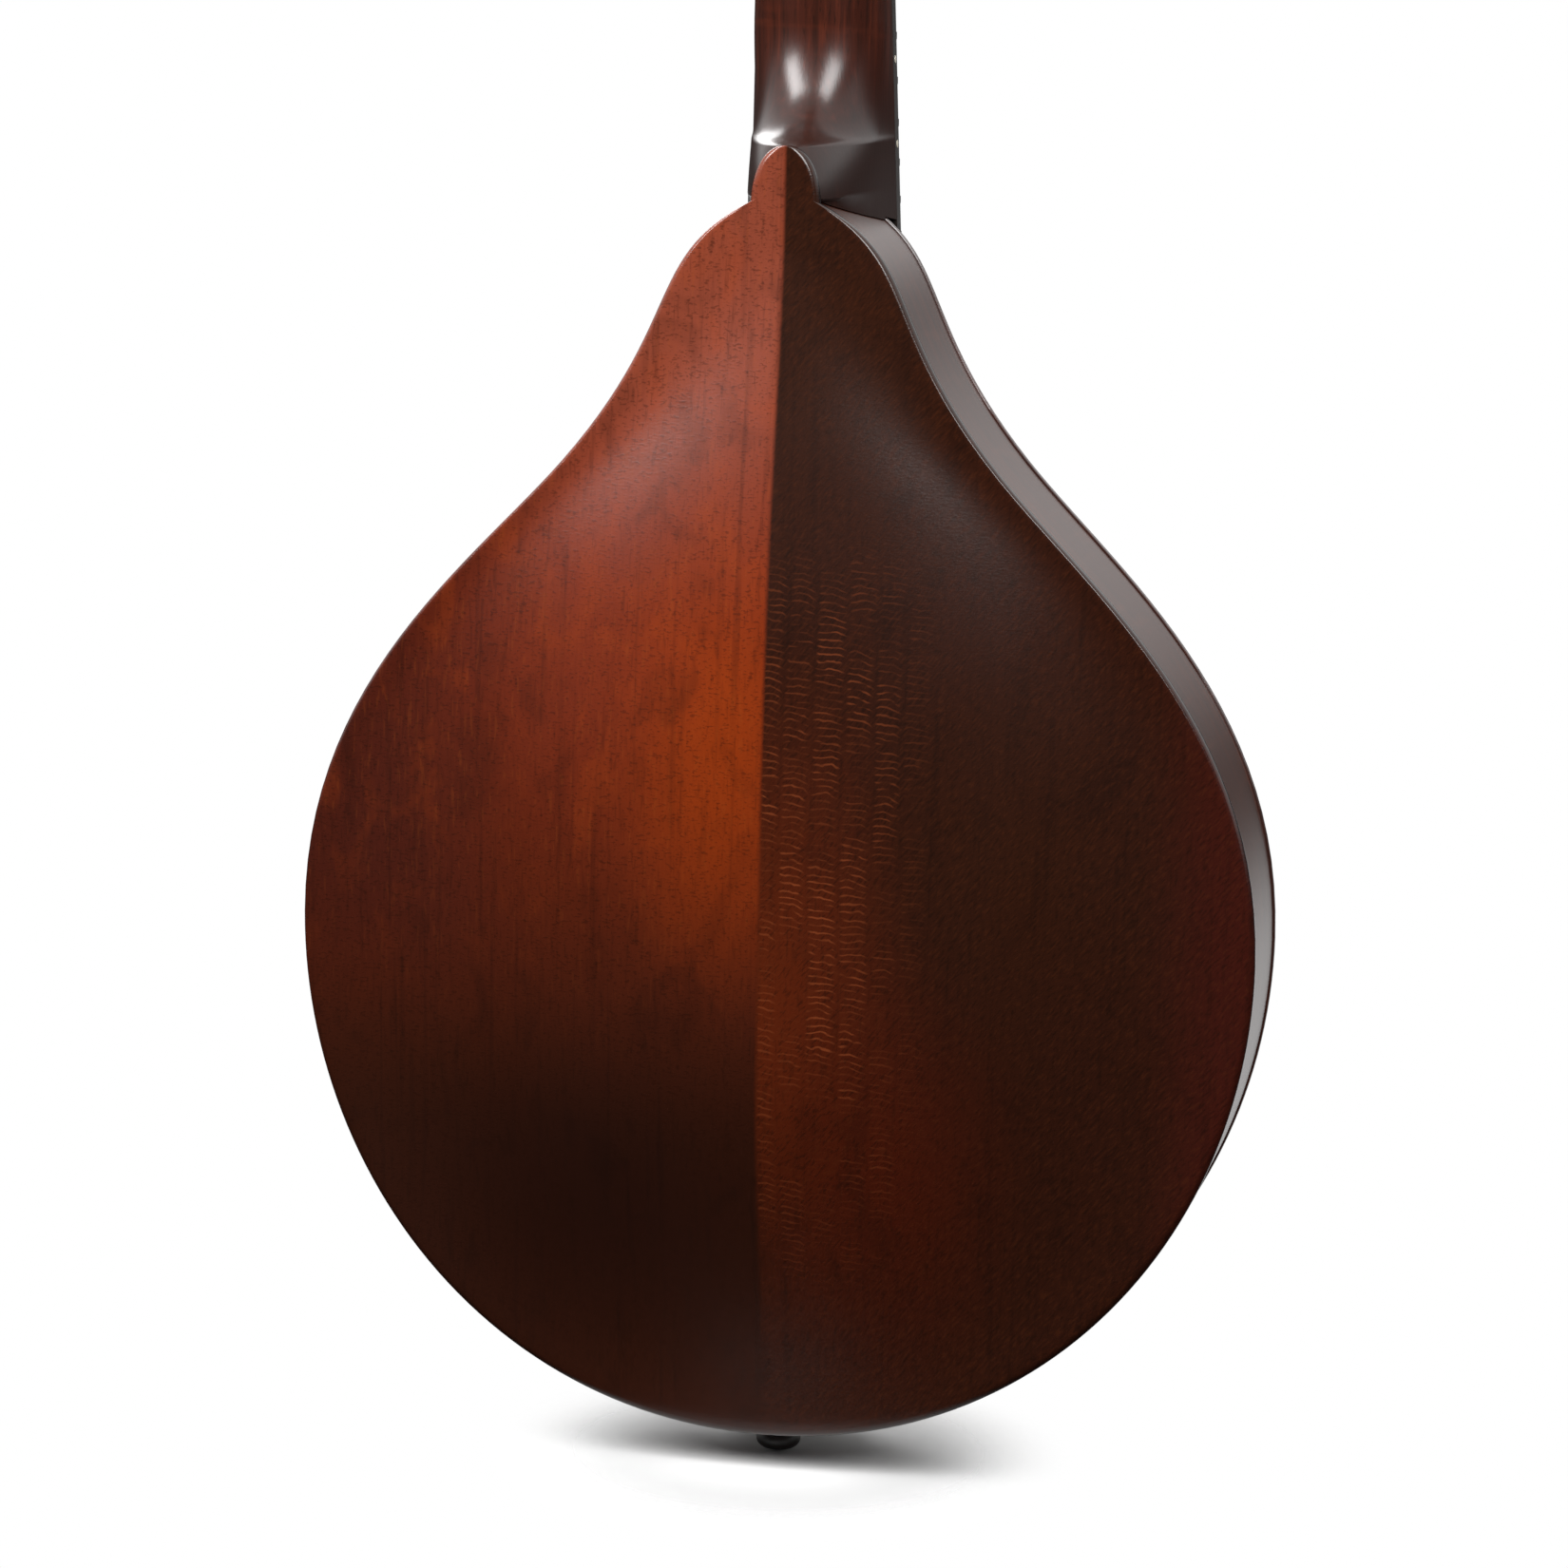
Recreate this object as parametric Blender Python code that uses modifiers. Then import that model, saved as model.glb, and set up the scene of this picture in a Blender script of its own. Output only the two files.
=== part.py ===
"""A-style mandolin with an oval sound hole, built piece by piece.

Frame: the mandolin stands upright. +Z runs along the neck, the strings face -Y, the back faces +Y
and the treble side is +X. The origin is the centre of the end pin's flat outer face.
Body pieces are drawn in (x, z) with z measured from the tail edge of the plates.
"""
import math

import bmesh
import bpy
from mathutils import Matrix, Vector
from mathutils.geometry import interpolate_bezier

# Driving dimensions of the body, in metres
BODY_LENGTH = 0.3285
BODY_HALF_WIDTH = 0.1270
WIDEST_AT = 0.1342
WAIST_HALF_WIDTH = 0.0580
WAIST_BELOW_END = 0.0712
WAIST_SLOPE = math.radians(49.4)
SHOULDER_HALF_WIDTH = 0.0091
SHOULDER_BELOW_END = 0.0027
SHOULDER_SLOPE = math.radians(27.6)
TAIL_HANDLE = 0.0760
LOWER_BOUT_HANDLE = 0.0703
UPPER_BOUT_HANDLE = 0.0627
WAIST_HANDLE_LOW = 0.0357
WAIST_HANDLE_HIGH = 0.0499
SHOULDER_HANDLE = 0.0314
BUTTON_ABOVE_END = 0.0118
BUTTON_SIDE_HANDLE = 0.0085
BUTTON_TIP_HANDLE = 0.0056
BODY_DEPTH = 0.0460
FIT = 0.0003

# Plates and their arching
PLATE_THICKNESS = 0.0032
OVERHANG = 0.0006
BACK_ARCH = 0.0155
TOP_ARCH = 0.0150
ARCH_POWER = 1.8
SPINE_START = 0.1150
CROWN_AT = 0.1600
ARCH_END_BELOW_END = 0.0135
SOUND_HOLE_WIDTH = 0.0550
SOUND_HOLE_HEIGHT = 0.0400
SOUND_HOLE_BELOW_END = 0.0905

# Rim and blocks
RIB_THICKNESS = 0.0020
LINING_WIDTH = 0.0050
LINING_HEIGHT = 0.0070
NECK_BLOCK_LENGTH = 0.0355
TAIL_BLOCK_HALF_WIDTH = 0.0280
TAIL_BLOCK_THICKNESS = 0.0150
TENON_ROOT_HALF_WIDTH = 0.0055
TENON_END_HALF_WIDTH = 0.0080
TENON_LENGTH = 0.0180
BRACE_BELOW_HOLE = 0.0330
BRACE_HALF_LENGTH = 0.0720
BRACE_WIDTH = 0.0070
BRACE_DROP = 0.0020

# End pin
PIN_PROUD = 0.0093
PIN_HEAD_RADIUS = 0.0060
PIN_FACE_RADIUS = 0.0035
PIN_SHANK_RADIUS = 0.0036
PIN_HEAD_LENGTH = 0.0052
PIN_DEPTH = 0.0150

# Neck and fingerboard
SCALE_LENGTH = 0.3524
NUT_TO_BODY = 0.1811
NECK_ANGLE = math.radians(5.5)
HEAD_ANGLE = math.radians(15.0)
FINGERBOARD_RISE = 0.0040
FINGERBOARD_THICKNESS = 0.0055
FINGERBOARD_END_MARGIN = 0.0036
NUT_HALF_WIDTH = 0.0143
BODY_JOINT_HALF_WIDTH = 0.0194
FRET_COUNT = 20
FRET_HEIGHT = 0.0009
FRET_WIDTH = 0.0020
NECK_DEPTH_AT_NUT = 0.0140
NECK_DEPTH_AT_HEEL = 0.0165
HEEL_COVE = 0.0320
HEEL_CAP_INSET = 0.0004
HEEL_ROOT_LENGTH = 0.0060
HEAD_BEND_LENGTH = 0.0080
HEEL_SECTION_POWER = 4.0
HEEL_SIDE_POWER = 1.1
HEEL_ROUND = 0.0120
SHAFT_SECTION_POWER = 2.1
NUT_LENGTH = 0.0045
NUT_RISE = 0.0010
NUT_EDGE_ROUND = 0.0005
RISER_INSET = 0.0015
TRUSS_ROD_RADIUS = 0.0025
TRUSS_SLOT_HALF_WIDTH = 0.0030
TRUSS_ROD_AT = 0.0050
TRUSS_FOOT = 0.0150
TRUSS_NUT_RADIUS = 0.0038
TRUSS_NUT_LENGTH = 0.0080

# Headstock
HEAD_LENGTH = 0.1500
HEAD_THICKNESS = 0.0120
HEAD_PLATE_THICKNESS = 0.0025
HEAD_LOW_HALF_WIDTH = 0.0305
HEAD_TOP_HALF_WIDTH = 0.0335
HEAD_FLARE_START = 0.0040
HEAD_FLARE_END = 0.0220
HEAD_BACK_FLAT_AT = 0.0190
HEAD_CROWN = 0.0150
HEAD_EDGE_ROUND = 0.0030
HEAD_SECTION_POWER = 8.0
COVER_LENGTH = 0.0330
COVER_HALF_WIDTH = 0.0100
COVER_THICKNESS = 0.0018

# Tuning machines
POST_PITCH = 0.0230
FIRST_POST_AT = 0.0410
POST_HALF_SPREAD = 0.0215
POST_RADIUS = 0.0030
POST_HOLE_CLEARANCE = 0.0005
POST_PROUD = 0.0130
POST_WAIST = 0.72
STRING_HOLE_PROUD = 0.0070
POST_TIP_CHAMFER = 0.0006
GEAR_TEETH = 14
WORM_PITCH = 0.0020
WORM_PITCH_RADIUS = 0.0021
TOOTH_ADDENDUM = 0.00035
TOOTH_CLEARANCE = 0.00036
TOOTH_SHARE = 0.35
THREAD_SHARE = 0.30
GEAR_WIDTH = 0.0038
WORM_HALF_LENGTH = 0.0035
JOURNAL_CLEARANCE = 0.0004
LUG_THICKNESS = 0.0018
LUG_WIDTH = 0.0056
LUG_ROOF = 0.0008
TUNER_PLATE_THICKNESS = 0.0012
TUNER_PLATE_HALF_WIDTH = 0.0072
TUNER_PLATE_MARGIN = 0.0115
KNOB_START = 0.0140
KNOB_LENGTH = 0.0130
KNOB_RADIUS = 0.0075
KNOB_FLATTEN = 0.50

# Bridge
BRIDGE_HALF_LENGTH = 0.0520
BRIDGE_DEPTH = 0.0110
BRIDGE_FOOT_HEIGHT = 0.0048
TOE_DROP = 0.22
BRIDGE_SCREW_SPREAD = 0.0330
BRIDGE_SCREW_RADIUS = 0.0015
WHEEL_RADIUS = 0.0060
WHEEL_THICKNESS = 0.0020
WHEEL_LIFT = 0.0016
SADDLE_HALF_LENGTH = 0.0385
SADDLE_DEPTH = 0.0070
SADDLE_TOP_DEPTH = 0.0030
SADDLE_BORE_CLEARANCE = 0.0005
SADDLE_BORE_DEPTH = 0.0050
BRIDGE_SCREW_GRIP = 0.0033

# Strings, from the bass to the treble side
STRING_DIAMETERS = (0.00102, 0.00102, 0.00066, 0.00066, 0.00038, 0.00038, 0.00030, 0.00030)
STRING_RISE_AT_BRIDGE = 0.0036
COURSE_SPACING_NUT = 0.00717
PAIR_SPACING_NUT = 0.0025
COURSE_SPACING_BRIDGE = 0.0122
PAIR_SPACING_BRIDGE = 0.0036
HOOK_SPACING = 0.0040

# Tailpiece
TAILPIECE_ANGLE = math.radians(8.6)
TAILPIECE_SHEET = 0.0012
TAILPIECE_HALF_WIDTH = 0.0175
TAILPIECE_LENGTH = 0.0380
TAILPIECE_LEG = 0.0170
TAILPIECE_LIFT = 0.0030
HOOK_AT = 0.0160
HOOK_HEIGHT = 0.0030
HOOK_WIDTH = 0.0016
COVER_SHEET = 0.0010
COVER_SHELL_LENGTH = 0.0560
COVER_SHELL_HEIGHT = 0.0068

# Mesh density
OUTLINE_STEPS = 6
ARCH_LEVELS = (0.14, 0.32, 0.54, 0.78, 1.0)
NECK_POINTS = 7
COVE_STEPS = 6

# Places that follow from the sizes above
WAIST_AT = BODY_LENGTH - WAIST_BELOW_END
SHOULDER_AT = BODY_LENGTH - SHOULDER_BELOW_END
BUTTON_TIP_AT = BODY_LENGTH + BUTTON_ABOVE_END
ARCH_END_AT = BODY_LENGTH - ARCH_END_BELOW_END
SOUND_HOLE_AT = BODY_LENGTH - SOUND_HOLE_BELOW_END
NECK_BLOCK_AT = BODY_LENGTH - NECK_BLOCK_LENGTH
BRACE_AT = SOUND_HOLE_AT - BRACE_BELOW_HOLE
HALF_DEPTH = BODY_DEPTH / 2
INNER_HALF_DEPTH = HALF_DEPTH - PLATE_THICKNESS - FIT
LINING_INSET = OVERHANG + RIB_THICKNESS + FIT
GLUE_MARGIN = LINING_INSET + LINING_WIDTH + FIT
GLUE_PLANE_Y = -(HALF_DEPTH + FINGERBOARD_RISE)


def clear_scene():
    """Remove every object, so that the script starts from nothing."""
    for old in list(bpy.data.objects):
        bpy.data.objects.remove(old, do_unlink=True)


def new_collection(name):
    collection = bpy.data.collections.new(name)
    bpy.context.scene.collection.children.link(collection)
    return collection


def material(name, color, roughness, metallic=0.0):
    mat = bpy.data.materials.new(name)
    mat.use_nodes = True
    shader = mat.node_tree.nodes["Principled BSDF"]
    shader.inputs["Base Color"].default_value = (*color, 1.0)
    shader.inputs["Roughness"].default_value = roughness
    shader.inputs["Metallic"].default_value = metallic
    return mat


def link(obj, collection, mat=None, parent=None):
    """Put an object in a collection with its material and its parent."""
    collection.objects.link(obj)
    if mat is not None:
        obj.data.materials.clear()
        obj.data.materials.append(mat)
    obj.parent = parent
    return obj


def empty(name, location, rotation, parent=None):
    frame = bpy.data.objects.new(name, None)
    frame.location = location
    frame.rotation_euler = rotation
    return link(frame, PARTS, parent=parent)


def mesh_object(name, verts, faces, mat=None, parent=None, collection=None):
    """A mesh object from points and faces, with its doubles welded."""
    mesh = bpy.data.meshes.new(name)
    mesh.from_pydata([tuple(v) for v in verts], [], faces)
    weld(mesh)
    return link(bpy.data.objects.new(name, mesh), collection or PARTS, mat, parent)


def weld(mesh):
    """Merge coincident points and face every closed part outwards."""
    work = bmesh.new()
    work.from_mesh(mesh)
    bmesh.ops.remove_doubles(work, verts=work.verts, dist=1e-6)
    bmesh.ops.dissolve_degenerate(work, edges=work.edges, dist=1e-7)
    bmesh.ops.recalc_face_normals(work, faces=work.faces)
    work.to_mesh(mesh)
    work.free()


def bake(obj):
    """Turn a curve, or a mesh with modifiers, into a plain mesh object of the same name."""
    bpy.context.view_layer.update()
    evaluated = obj.evaluated_get(bpy.context.evaluated_depsgraph_get())
    mesh = bpy.data.meshes.new_from_object(evaluated)
    weld(mesh)
    name, parent, users = obj.name, obj.parent, obj.users_collection
    place = obj.matrix_basis.copy()
    bpy.data.objects.remove(obj, do_unlink=True)
    solid = bpy.data.objects.new(name, mesh)
    solid.parent = parent
    solid.matrix_basis = place
    users[0].objects.link(solid)
    return solid


def as_cutter(obj):
    obj.hide_render = True
    obj.display_type = 'WIRE'
    return obj


def boolean(obj, other, operation):
    mod = obj.modifiers.new(operation.title() + " " + other.name, 'BOOLEAN')
    mod.operation = operation
    mod.object = other
    mod.solver = 'EXACT'
    return obj


def smooth(obj, degrees=35.0):
    obj.data.shade_smooth()
    obj.data.set_sharp_from_angle(angle=math.radians(degrees))
    return obj


def bevel(obj, width, segments=1, degrees=50.0):
    mod = obj.modifiers.new("Rounded edges", 'BEVEL')
    mod.width = width
    mod.segments = segments
    mod.limit_method = 'ANGLE'
    mod.angle_limit = math.radians(degrees)
    return obj


def box(name, size, center, mat=None, parent=None, collection=None):
    """A primitive cube scaled in its mesh to a size, about its own centre."""
    mesh = bpy.data.meshes.new(name)
    work = bmesh.new()
    bmesh.ops.create_cube(work, size=1.0)
    bmesh.ops.scale(work, vec=Vector(size), verts=work.verts)
    work.to_mesh(mesh)
    work.free()
    obj = link(bpy.data.objects.new(name, mesh), collection or PARTS, mat, parent)
    obj.location = center
    return obj


def cylinder_mesh(work, radius, start, end, sides):
    """Add a capped cylinder between two points to a bmesh."""
    start, end = Vector(start), Vector(end)
    axis = end - start
    turn = Vector((0, 0, 1)).rotation_difference(axis).to_matrix().to_4x4()
    bmesh.ops.create_cone(
        work, cap_ends=True, segments=sides, radius1=radius, radius2=radius,
        depth=axis.length, matrix=Matrix.Translation((start + end) / 2) @ turn)


def cylinders(name, specs, parent=None, collection=None, sides=12):
    """One object of several separate cylinders, each (radius, start, end)."""
    mesh = bpy.data.meshes.new(name)
    work = bmesh.new()
    for radius, start, end in specs:
        cylinder_mesh(work, radius, start, end, sides)
    work.to_mesh(mesh)
    work.free()
    return link(bpy.data.objects.new(name, mesh), collection or PARTS, parent=parent)


def turned(name, profile, steps, mat=None, parent=None, collection=None, closed=False):
    """A turned shape about local Z. The profile of (radius, height) runs from top to bottom."""
    mesh = bpy.data.meshes.new(name)
    edges = [(i, i + 1) for i in range(len(profile) - 1)]
    if closed:
        edges.append((len(profile) - 1, 0))
    mesh.from_pydata([(r, 0.0, h) for r, h in profile], edges, [])
    obj = link(bpy.data.objects.new(name, mesh), collection or PARTS, mat, parent)
    mod = obj.modifiers.new("Turned", 'SCREW')
    mod.steps = steps
    mod.render_steps = steps
    mod.use_merge_vertices = True
    mod.merge_threshold = 1e-6
    mod.use_smooth_shade = True
    return obj


def slab(name, points, low, high, parent=None, collection=None, axis="Y"):
    """A closed flat outline, extruded from low to high along an axis.

    Along Y the outline is in (x, z), along Z in (x, y).
    """
    curve = bpy.data.curves.new(name, 'CURVE')
    curve.dimensions = '2D'
    curve.fill_mode = 'BOTH'
    curve.extrude = (high - low) / 2
    spline = curve.splines.new('POLY')
    spline.points.add(len(points) - 1)
    for point, (x, z) in zip(spline.points, points):
        point.co = (x, z, 0.0, 1.0)
    spline.use_cyclic_u = True
    obj = link(bpy.data.objects.new(name, curve), collection or PARTS, parent=parent)
    middle = (low + high) / 2
    if axis == "Y":
        obj.rotation_euler = (math.pi / 2, 0, 0)
        obj.location = (0, middle, 0)
    else:
        obj.location = (0, 0, middle)
    return bake(obj)


def mirrored(points):
    """A half outline at x >= 0, from low to high, closed with its mirror image."""
    left = [(-x, z) for x, z in reversed(points) if x > 1e-6]
    return list(points) + left


def bezier(start, handle_1, handle_2, end, steps=OUTLINE_STEPS):
    corners = [Vector((*p, 0.0)) for p in (start, handle_1, handle_2, end)]
    return [(p.x, p.y) for p in interpolate_bezier(*corners, steps + 1)]


def chain(*pieces):
    """Join curve pieces that share their end points."""
    points = list(pieces[0])
    for piece in pieces[1:]:
        points += piece[1:]
    return points


def body_side():
    """The right half of the plates' outline, from the tail to the shoulder beside the heel."""
    widest = (BODY_HALF_WIDTH, WIDEST_AT)
    waist = (WAIST_HALF_WIDTH, WAIST_AT)
    shoulder = (SHOULDER_HALF_WIDTH, SHOULDER_AT)
    up = (-math.cos(WAIST_SLOPE), math.sin(WAIST_SLOPE))
    in_ = (-math.cos(SHOULDER_SLOPE), math.sin(SHOULDER_SLOPE))
    lower = bezier((0.0, 0.0), (TAIL_HANDLE, 0.0),
                   (BODY_HALF_WIDTH, WIDEST_AT - LOWER_BOUT_HANDLE), widest, 2 * OUTLINE_STEPS)
    upper = bezier(widest, (BODY_HALF_WIDTH, WIDEST_AT + UPPER_BOUT_HANDLE),
                   (waist[0] - up[0] * WAIST_HANDLE_LOW, waist[1] - up[1] * WAIST_HANDLE_LOW), waist)
    neck = bezier(waist,
                  (waist[0] + up[0] * WAIST_HANDLE_HIGH, waist[1] + up[1] * WAIST_HANDLE_HIGH),
                  (shoulder[0] - in_[0] * SHOULDER_HANDLE, shoulder[1] - in_[1] * SHOULDER_HANDLE),
                  shoulder)
    return chain(lower, upper, neck)


def rim_outline():
    """The right half of the rim: the body's side, closed smoothly behind the heel."""
    shoulder = (SHOULDER_HALF_WIDTH, SHOULDER_AT)
    top = (0.0, BODY_LENGTH)
    closing = bezier(shoulder, (SHOULDER_HALF_WIDTH * 0.7, (SHOULDER_AT + 2 * BODY_LENGTH) / 3),
                     (SHOULDER_HALF_WIDTH * 0.4, BODY_LENGTH), top, 3)
    return chain(body_side(), closing)


def button_side():
    """The right half of the heel button, from its root to its tip."""
    root = (SHOULDER_HALF_WIDTH, SHOULDER_AT)
    tip = (0.0, BUTTON_TIP_AT)
    return bezier(root, (SHOULDER_HALF_WIDTH - OVERHANG / 2, SHOULDER_AT + BUTTON_SIDE_HANDLE),
                  (BUTTON_TIP_HANDLE, BUTTON_TIP_AT), tip, 6)


def inset(points, distance):
    """Move a half outline inwards along its normals, towards the body's middle."""
    moved = []
    for i, (x, z) in enumerate(points):
        x0, z0 = points[max(i - 1, 0)]
        x1, z1 = points[min(i + 1, len(points) - 1)]
        along = Vector((x1 - x0, z1 - z0)).normalized()
        moved.append((x - along.y * distance, z + along.x * distance))
    moved[0] = (0.0, points[0][1] + distance)
    if points[-1][0] < 1e-6:
        moved[-1] = (0.0, points[-1][1] - distance)
    return moved


def width_at(points, z):
    """Half width of an outline at a height, read between its points."""
    for (x0, z0), (x1, z1) in zip(points, points[1:]):
        if min(z0, z1) <= z <= max(z0, z1) and z0 != z1:
            return x0 + (x1 - x0) * (z - z0) / (z1 - z0)
    return 0.0


def trim(points, keep):
    """The stretch of an outline where keep(x, z) holds, with its ends found between points."""
    result = []
    for (a, b) in zip(points, points[1:]):
        inside_a, inside_b = keep(*a), keep(*b)
        if inside_a and not result:
            result.append(a)
        if inside_a != inside_b:
            low, high = 0.0, 1.0
            for _ in range(30):
                mid = (low + high) / 2
                point = (a[0] + (b[0] - a[0]) * mid, a[1] + (b[1] - a[1]) * mid)
                if keep(*point) == inside_a:
                    low = mid
                else:
                    high = mid
            result.append(point)
        if inside_b:
            result.append(b)
    return result


def spine_height(z, arch):
    """Height of the arching along the centre line, above the plate's flat margin."""
    if z <= CROWN_AT:
        return arch
    reach = min((z - CROWN_AT) / (ARCH_END_AT - CROWN_AT), 1.0)
    return arch * (1.0 - reach ** 2) ** ARCH_POWER


def plate_surface(name, outline, arch, side):
    """The outer face of a plate as an open half, rows running from the edge to the spine."""
    top = max(z for _, z in outline)
    verts, faces = [], []
    levels = len(ARCH_LEVELS) + 2
    for x, z in outline:
        spine_z = SPINE_START + (top - OVERHANG - SPINE_START) * z / top
        length = math.hypot(x, spine_z - z)
        margin = min(GLUE_MARGIN / length, 0.85)
        height = spine_height(spine_z, arch)
        for share in (0.0, margin, *[margin + (1 - margin) * level for level in ARCH_LEVELS]):
            rise = max(share - margin, 0.0) / (1 - margin)
            swell = (1.0 - (1.0 - rise) ** 2) ** ARCH_POWER
            verts.append((x * (1 - share), side * (HALF_DEPTH + height * swell),
                          z + (spine_z - z) * share))
    for row in range(len(outline) - 1):
        for level in range(levels - 1):
            a = row * levels + level
            quad = (a, a + 1, a + levels + 1, a + levels)
            faces.append(quad if side > 0 else quad[::-1])
    mesh = bpy.data.meshes.new(name)
    mesh.from_pydata(verts, [], faces)
    work = bmesh.new()
    work.from_mesh(mesh)
    bmesh.ops.remove_doubles(work, verts=work.verts, dist=1e-6)
    work.to_mesh(mesh)
    work.free()
    return mesh


def plate(name, outline, arch, side, outside, inside, mat=None, collection=None):
    """A carved plate: an open half surface, mirrored and given its thickness."""
    obj = link(bpy.data.objects.new(name, plate_surface(name, outline, arch, side)),
               collection or PARTS, mat, BODY)
    mirror = obj.modifiers.new("Bookmatch", 'MIRROR')
    mirror.use_clip = True
    mirror.merge_threshold = 1e-6
    shell = obj.modifiers.new("Plate thickness", 'SOLIDIFY')
    shell.thickness = outside + inside
    shell.offset = 2 * outside / (outside + inside) - 1
    return obj


def strip(name, path, front, back, thickness, side, mat):
    """A bent strip of wood that follows a half outline; side is +1 for treble, -1 for bass."""
    verts = [(side * x, y, z) for x, z in path for y in (front, back)]
    faces = []
    for i in range(len(path) - 1):
        quad = (2 * i, 2 * i + 1, 2 * i + 3, 2 * i + 2)
        faces.append(quad if side > 0 else quad[::-1])
    mesh = bpy.data.meshes.new(name)
    mesh.from_pydata(verts, [], faces)
    obj = link(bpy.data.objects.new(name, mesh), PARTS, mat, BODY)
    shell = obj.modifiers.new("Strip thickness", 'SOLIDIFY')
    shell.thickness = thickness
    shell.offset = -1
    shell.use_even_offset = True
    return smooth(obj)


def loft(name, sections, mat=None, parent=None, collection=None):
    """Join closed sections of equal point counts, with both ends capped."""
    count = len(sections[0])
    verts = [p for section in sections for p in section]
    faces = [tuple(range(count))]
    for row in range(len(sections) - 1):
        for i in range(count):
            a, b = row * count + i, row * count + (i + 1) % count
            faces.append((a, b, b + count, a + count))
    last = (len(sections) - 1) * count
    faces.append(tuple(last + i for i in reversed(range(count))))
    return mesh_object(name, verts, faces, mat, parent, collection)


# Body

def build_plates():
    """Carved back with its heel button, and carved spruce top with its oval hole."""
    back_outline = chain(body_side(), button_side())
    back = plate("back_plate", back_outline, BACK_ARCH, 1, 0.0, PLATE_THICKNESS, MAPLE_BACK)
    smooth(back)
    top = plate("top_plate", rim_outline(), TOP_ARCH, -1, 0.0, PLATE_THICKNESS, SPRUCE)
    oval = cylinders("sound_hole_cut", [(0.5, (0, -0.5, 0), (0, 0.5, 0))],
                     BODY, CUTTERS, sides=32)
    oval.data.transform(Matrix.Diagonal((SOUND_HOLE_WIDTH, BODY_DEPTH, SOUND_HOLE_HEIGHT, 1)))
    oval.location = (0, -HALF_DEPTH - TOP_ARCH / 2, SOUND_HOLE_AT)
    boolean(top, as_cutter(oval), 'DIFFERENCE')
    smooth(top)


def top_cutter(name, gap, depth):
    """A thick copy of the top, to shape what stands on it or is glued under it."""
    cutter = plate(name, rim_outline(), TOP_ARCH, -1, gap, depth, collection=CUTTERS)
    return as_cutter(cutter)


def build_rim():
    """Ribs, linings and the two end blocks."""
    outline = rim_outline()
    rib_end = tenon_half_width(BODY_LENGTH - OVERHANG - 2 * RIB_THICKNESS) + FIT + RIB_THICKNESS / 2
    rib_path = trim(inset(outline, OVERHANG),
                    lambda x, z: x > (rib_end if z > BODY_LENGTH / 2 else FIT / 2))
    lining_path = trim(
        inset(outline, LINING_INSET),
        lambda x, z: (x > TAIL_BLOCK_HALF_WIDTH + LINING_WIDTH / 2 or z > BODY_LENGTH / 2)
        and z < NECK_BLOCK_AT - LINING_WIDTH * 0.7)
    inner = INNER_HALF_DEPTH
    for side, hand in ((-1, "bass"), (1, "treble")):
        strip("rib_" + hand, rib_path, -inner, inner, RIB_THICKNESS, side, MAPLE_RIB)
        strip("lining_top_" + hand, lining_path, -inner, -inner + LINING_HEIGHT,
              LINING_WIDTH, side, PALE_WOOD)
        strip("lining_back_" + hand, lining_path, inner - LINING_HEIGHT, inner,
              LINING_WIDTH, side, PALE_WOOD)
    inside = inset(outline, LINING_INSET)
    build_tail_block(inside)
    build_neck_block(inside)


def build_tail_block(inside):
    low = trim(inside, lambda x, z: x < TAIL_BLOCK_HALF_WIDTH and z < BODY_LENGTH / 2)
    top = LINING_INSET + TAIL_BLOCK_THICKNESS
    points = mirrored(low + [(low[-1][0], top), (0.0, top)])
    block = slab("tail_block", points, -INNER_HALF_DEPTH, INNER_HALF_DEPTH, BODY)
    block.data.materials.append(PALE_WOOD)
    hole = cylinders("end_pin_cut", [(PIN_SHANK_RADIUS + 2 * FIT, (0, 0, -LINING_INSET),
                                      (0, 0, OVERHANG + PIN_DEPTH + FIT))], BODY, CUTTERS)
    as_cutter(hole)
    boolean(block, hole, 'DIFFERENCE')
    for hand in ("bass", "treble"):
        boolean(bpy.data.objects["rib_" + hand], hole, 'DIFFERENCE')


def tenon_half_width(z):
    """Half width of the dovetail tenon at a height; it is widest at its free end."""
    share = (BODY_LENGTH - z) / TENON_LENGTH
    return TENON_ROOT_HALF_WIDTH + (TENON_END_HALF_WIDTH - TENON_ROOT_HALF_WIDTH) * share


def build_neck_block(inside):
    """Block that fills the rim under the heel, with the mortise for the tenon."""
    high = trim(inside, lambda x, z: z > NECK_BLOCK_AT and x > tenon_half_width(z) + 2 * FIT)
    top = high[-1][1]
    foot = BODY_LENGTH - TENON_LENGTH - FIT
    points = [(0.0, NECK_BLOCK_AT), *high, (tenon_half_width(top) + FIT, top),
              (tenon_half_width(foot) + FIT, foot), (0.0, foot)]
    block = slab("neck_block", mirrored(points), -INNER_HALF_DEPTH, INNER_HALF_DEPTH, BODY)
    block.data.materials.append(PALE_WOOD)


def build_brace():
    """The one cross brace glued under the top, just below the sound hole."""
    front, back = -(HALF_DEPTH + TOP_ARCH), -INNER_HALF_DEPTH + BRACE_DROP
    brace = box("tone_bar", (2 * BRACE_HALF_LENGTH, back - front, BRACE_WIDTH),
                (0, (front + back) / 2, BRACE_AT), SPRUCE_BAR, BODY)
    return boolean(brace, top_cutter("tone_bar_cut", TOP_ARCH, PLATE_THICKNESS + FIT), 'DIFFERENCE')


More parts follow.
